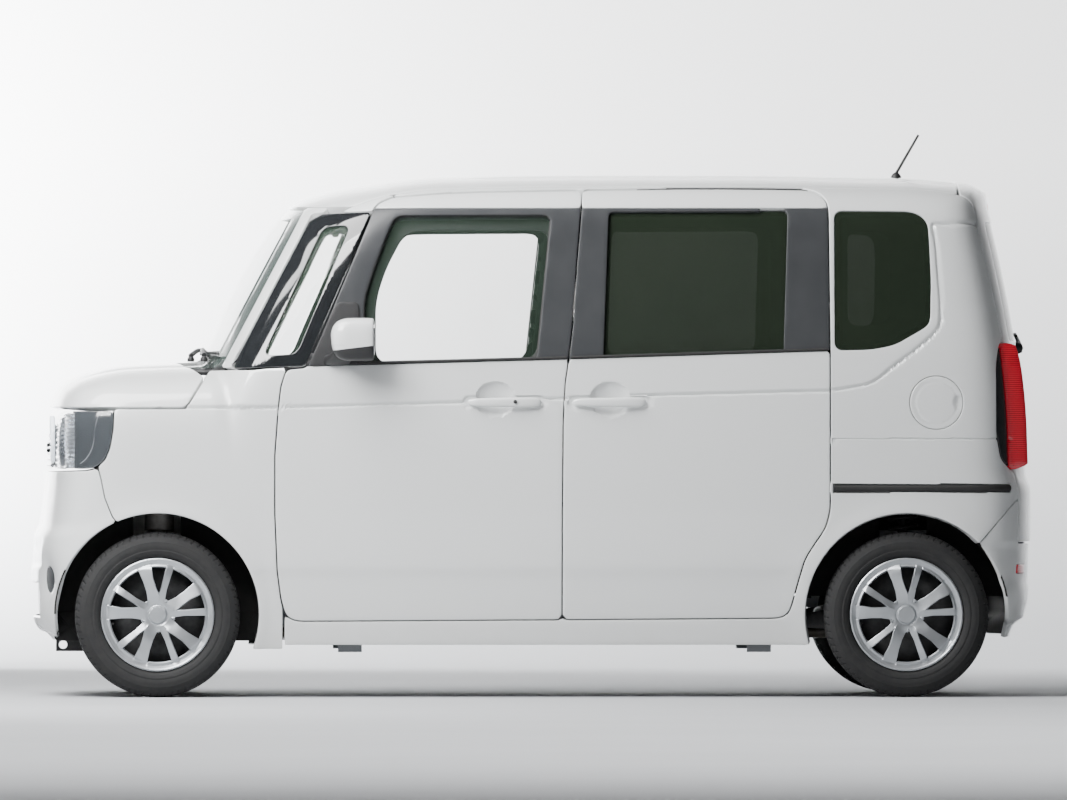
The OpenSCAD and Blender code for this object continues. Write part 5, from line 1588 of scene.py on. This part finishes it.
# Materials for the CAD parts that stay as they are.
plain = {"antenna": trimBlack, "cowl": trimBlack, "dashboard": trimGrey, "steering_wheel": trimBlack,
         "wheel_liners": linerBlack, "engine": castAlloy, "fuel_tank": linerBlack,
         "exhaust": exhaustSteel, "front_subframe": steelBlack, "rear_axle": steelBlack,
         "floor_pan": floorSteel, "number_plate": plateWhite, "front_knuckle_left": brakeIron,
         "front_knuckle_right": brakeIron, "windscreen": screenGlass, "tail_lamps": redLens,
         "grille": glossBlack, }
for node, material in plain.items():
    nodes[node].data.materials.clear()
    nodes[node].data.materials.append(material)
print("remaining parts given materials")

# Camera, floor and light.
view = {"turn": 178.5, "away": 70.0, "aim": (-0.013, 0.0, 1.0), "width": 3.626, "sensor": 36.0}
angle = math.radians(view["turn"])
ahead = Vector((-math.sin(angle), math.cos(angle), 0))
camera = bpy.data.objects.new("camera", bpy.data.cameras.new("camera"))
bpy.context.scene.collection.objects.link(camera)
camera.location = Vector(view["aim"]) - ahead * view["away"]
camera.rotation_euler = ahead.to_track_quat("-Z", "Y").to_euler()
camera.data.sensor_width = view["sensor"]
camera.data.lens = view["sensor"] * view["away"] / view["width"]
camera.data.clip_start, camera.data.clip_end = 1.0, 400.0
bpy.context.scene.camera = camera


# the floor is grey and turns paler up the wall, a painted shade on the floor and painted light up the
# wall; faint brushing shows on it
pale = Finish("studioPale", Specular_IOR_Level=0.2)
across, deep, up = pale.axes()
paintedLightUpWall = (up * 0.5).clamp()
grey = pale.mix(pale.noise(0.7, 5.0), (0.40, 0.41, 0.425), (0.46, 0.47, 0.485))
pale.set("Base_Color", pale.mix(paintedLightUpWall, grey, (0.86, 0.865, 0.87)))
pale.set("Roughness", 0.7 + pale.noise(3.0) * 0.1)

# floor, rising in a wide curve to a wall behind
profile = [(40.0, 0.0), (-7.0, 0.0)]
profile += [(-7.0 - 5.0 * math.sin(a),
             5.0 - 5.0 * math.cos(a)) for a in np.linspace(0.1, math.pi / 2, 16)]
profile += [(-12.0, 14.0)]
sweepX = np.linspace(-24, 24, 13)
points = np.array([[x, y, z] for x in sweepX for y, z in profile])
floor = meshPiece("studioFloor", points, gridFaces(len(sweepX), len(profile))[:, ::-1],
                  pale.material)

# each light: its place, what it points at, width, height, power and spread in degrees
lights = {
    "above": ((2.6, 1.6, 5.0), (0.8, 0, 0.8), 4.0, 2.5, 480.0, 180),
    "key": ((3.2, 3.9, 4.0), (0.6, 0.6, 0.9), 2.5, 2.0, 480.0, 180),
    "floor": ((0.0, 11.0, 9.0), (0.0, 11.01, 0.0), 14.0, 12.0, 1250.0, 70),
    "wall": ((4.2, -8.5, 2.6), (2.0, -12.0, 1.4), 2.0, 3.0, 2300.0, 180),
    "wallFar": ((-4.0, -6.0, 5.5), (-2.0, -12.0, 1.6), 5.0, 3.0, 520.0, 180),
}
for name, (where, at, wide, tall, power, spread) in lights.items():
    source = bpy.data.lights.new(name, "AREA")
    source.shape, source.size, source.size_y, source.energy = "RECTANGLE", wide, tall, power
    source.spread = math.radians(spread)
    holder = bpy.data.objects.new(name, source)
    holder.location = where
    holder.rotation_euler = (Vector(at) - Vector(where)).to_track_quat("-Z", "Y").to_euler()
    bpy.context.scene.collection.objects.link(holder)
world = bpy.data.worlds.new("studio")
bpy.context.scene.world = world
world.use_nodes = True
world.node_tree.nodes["Background"].inputs[0].default_value = (0.93, 0.95, 0.97, 1)
world.node_tree.nodes["Background"].inputs[1].default_value = 0.08
print("camera, floor and lights made")
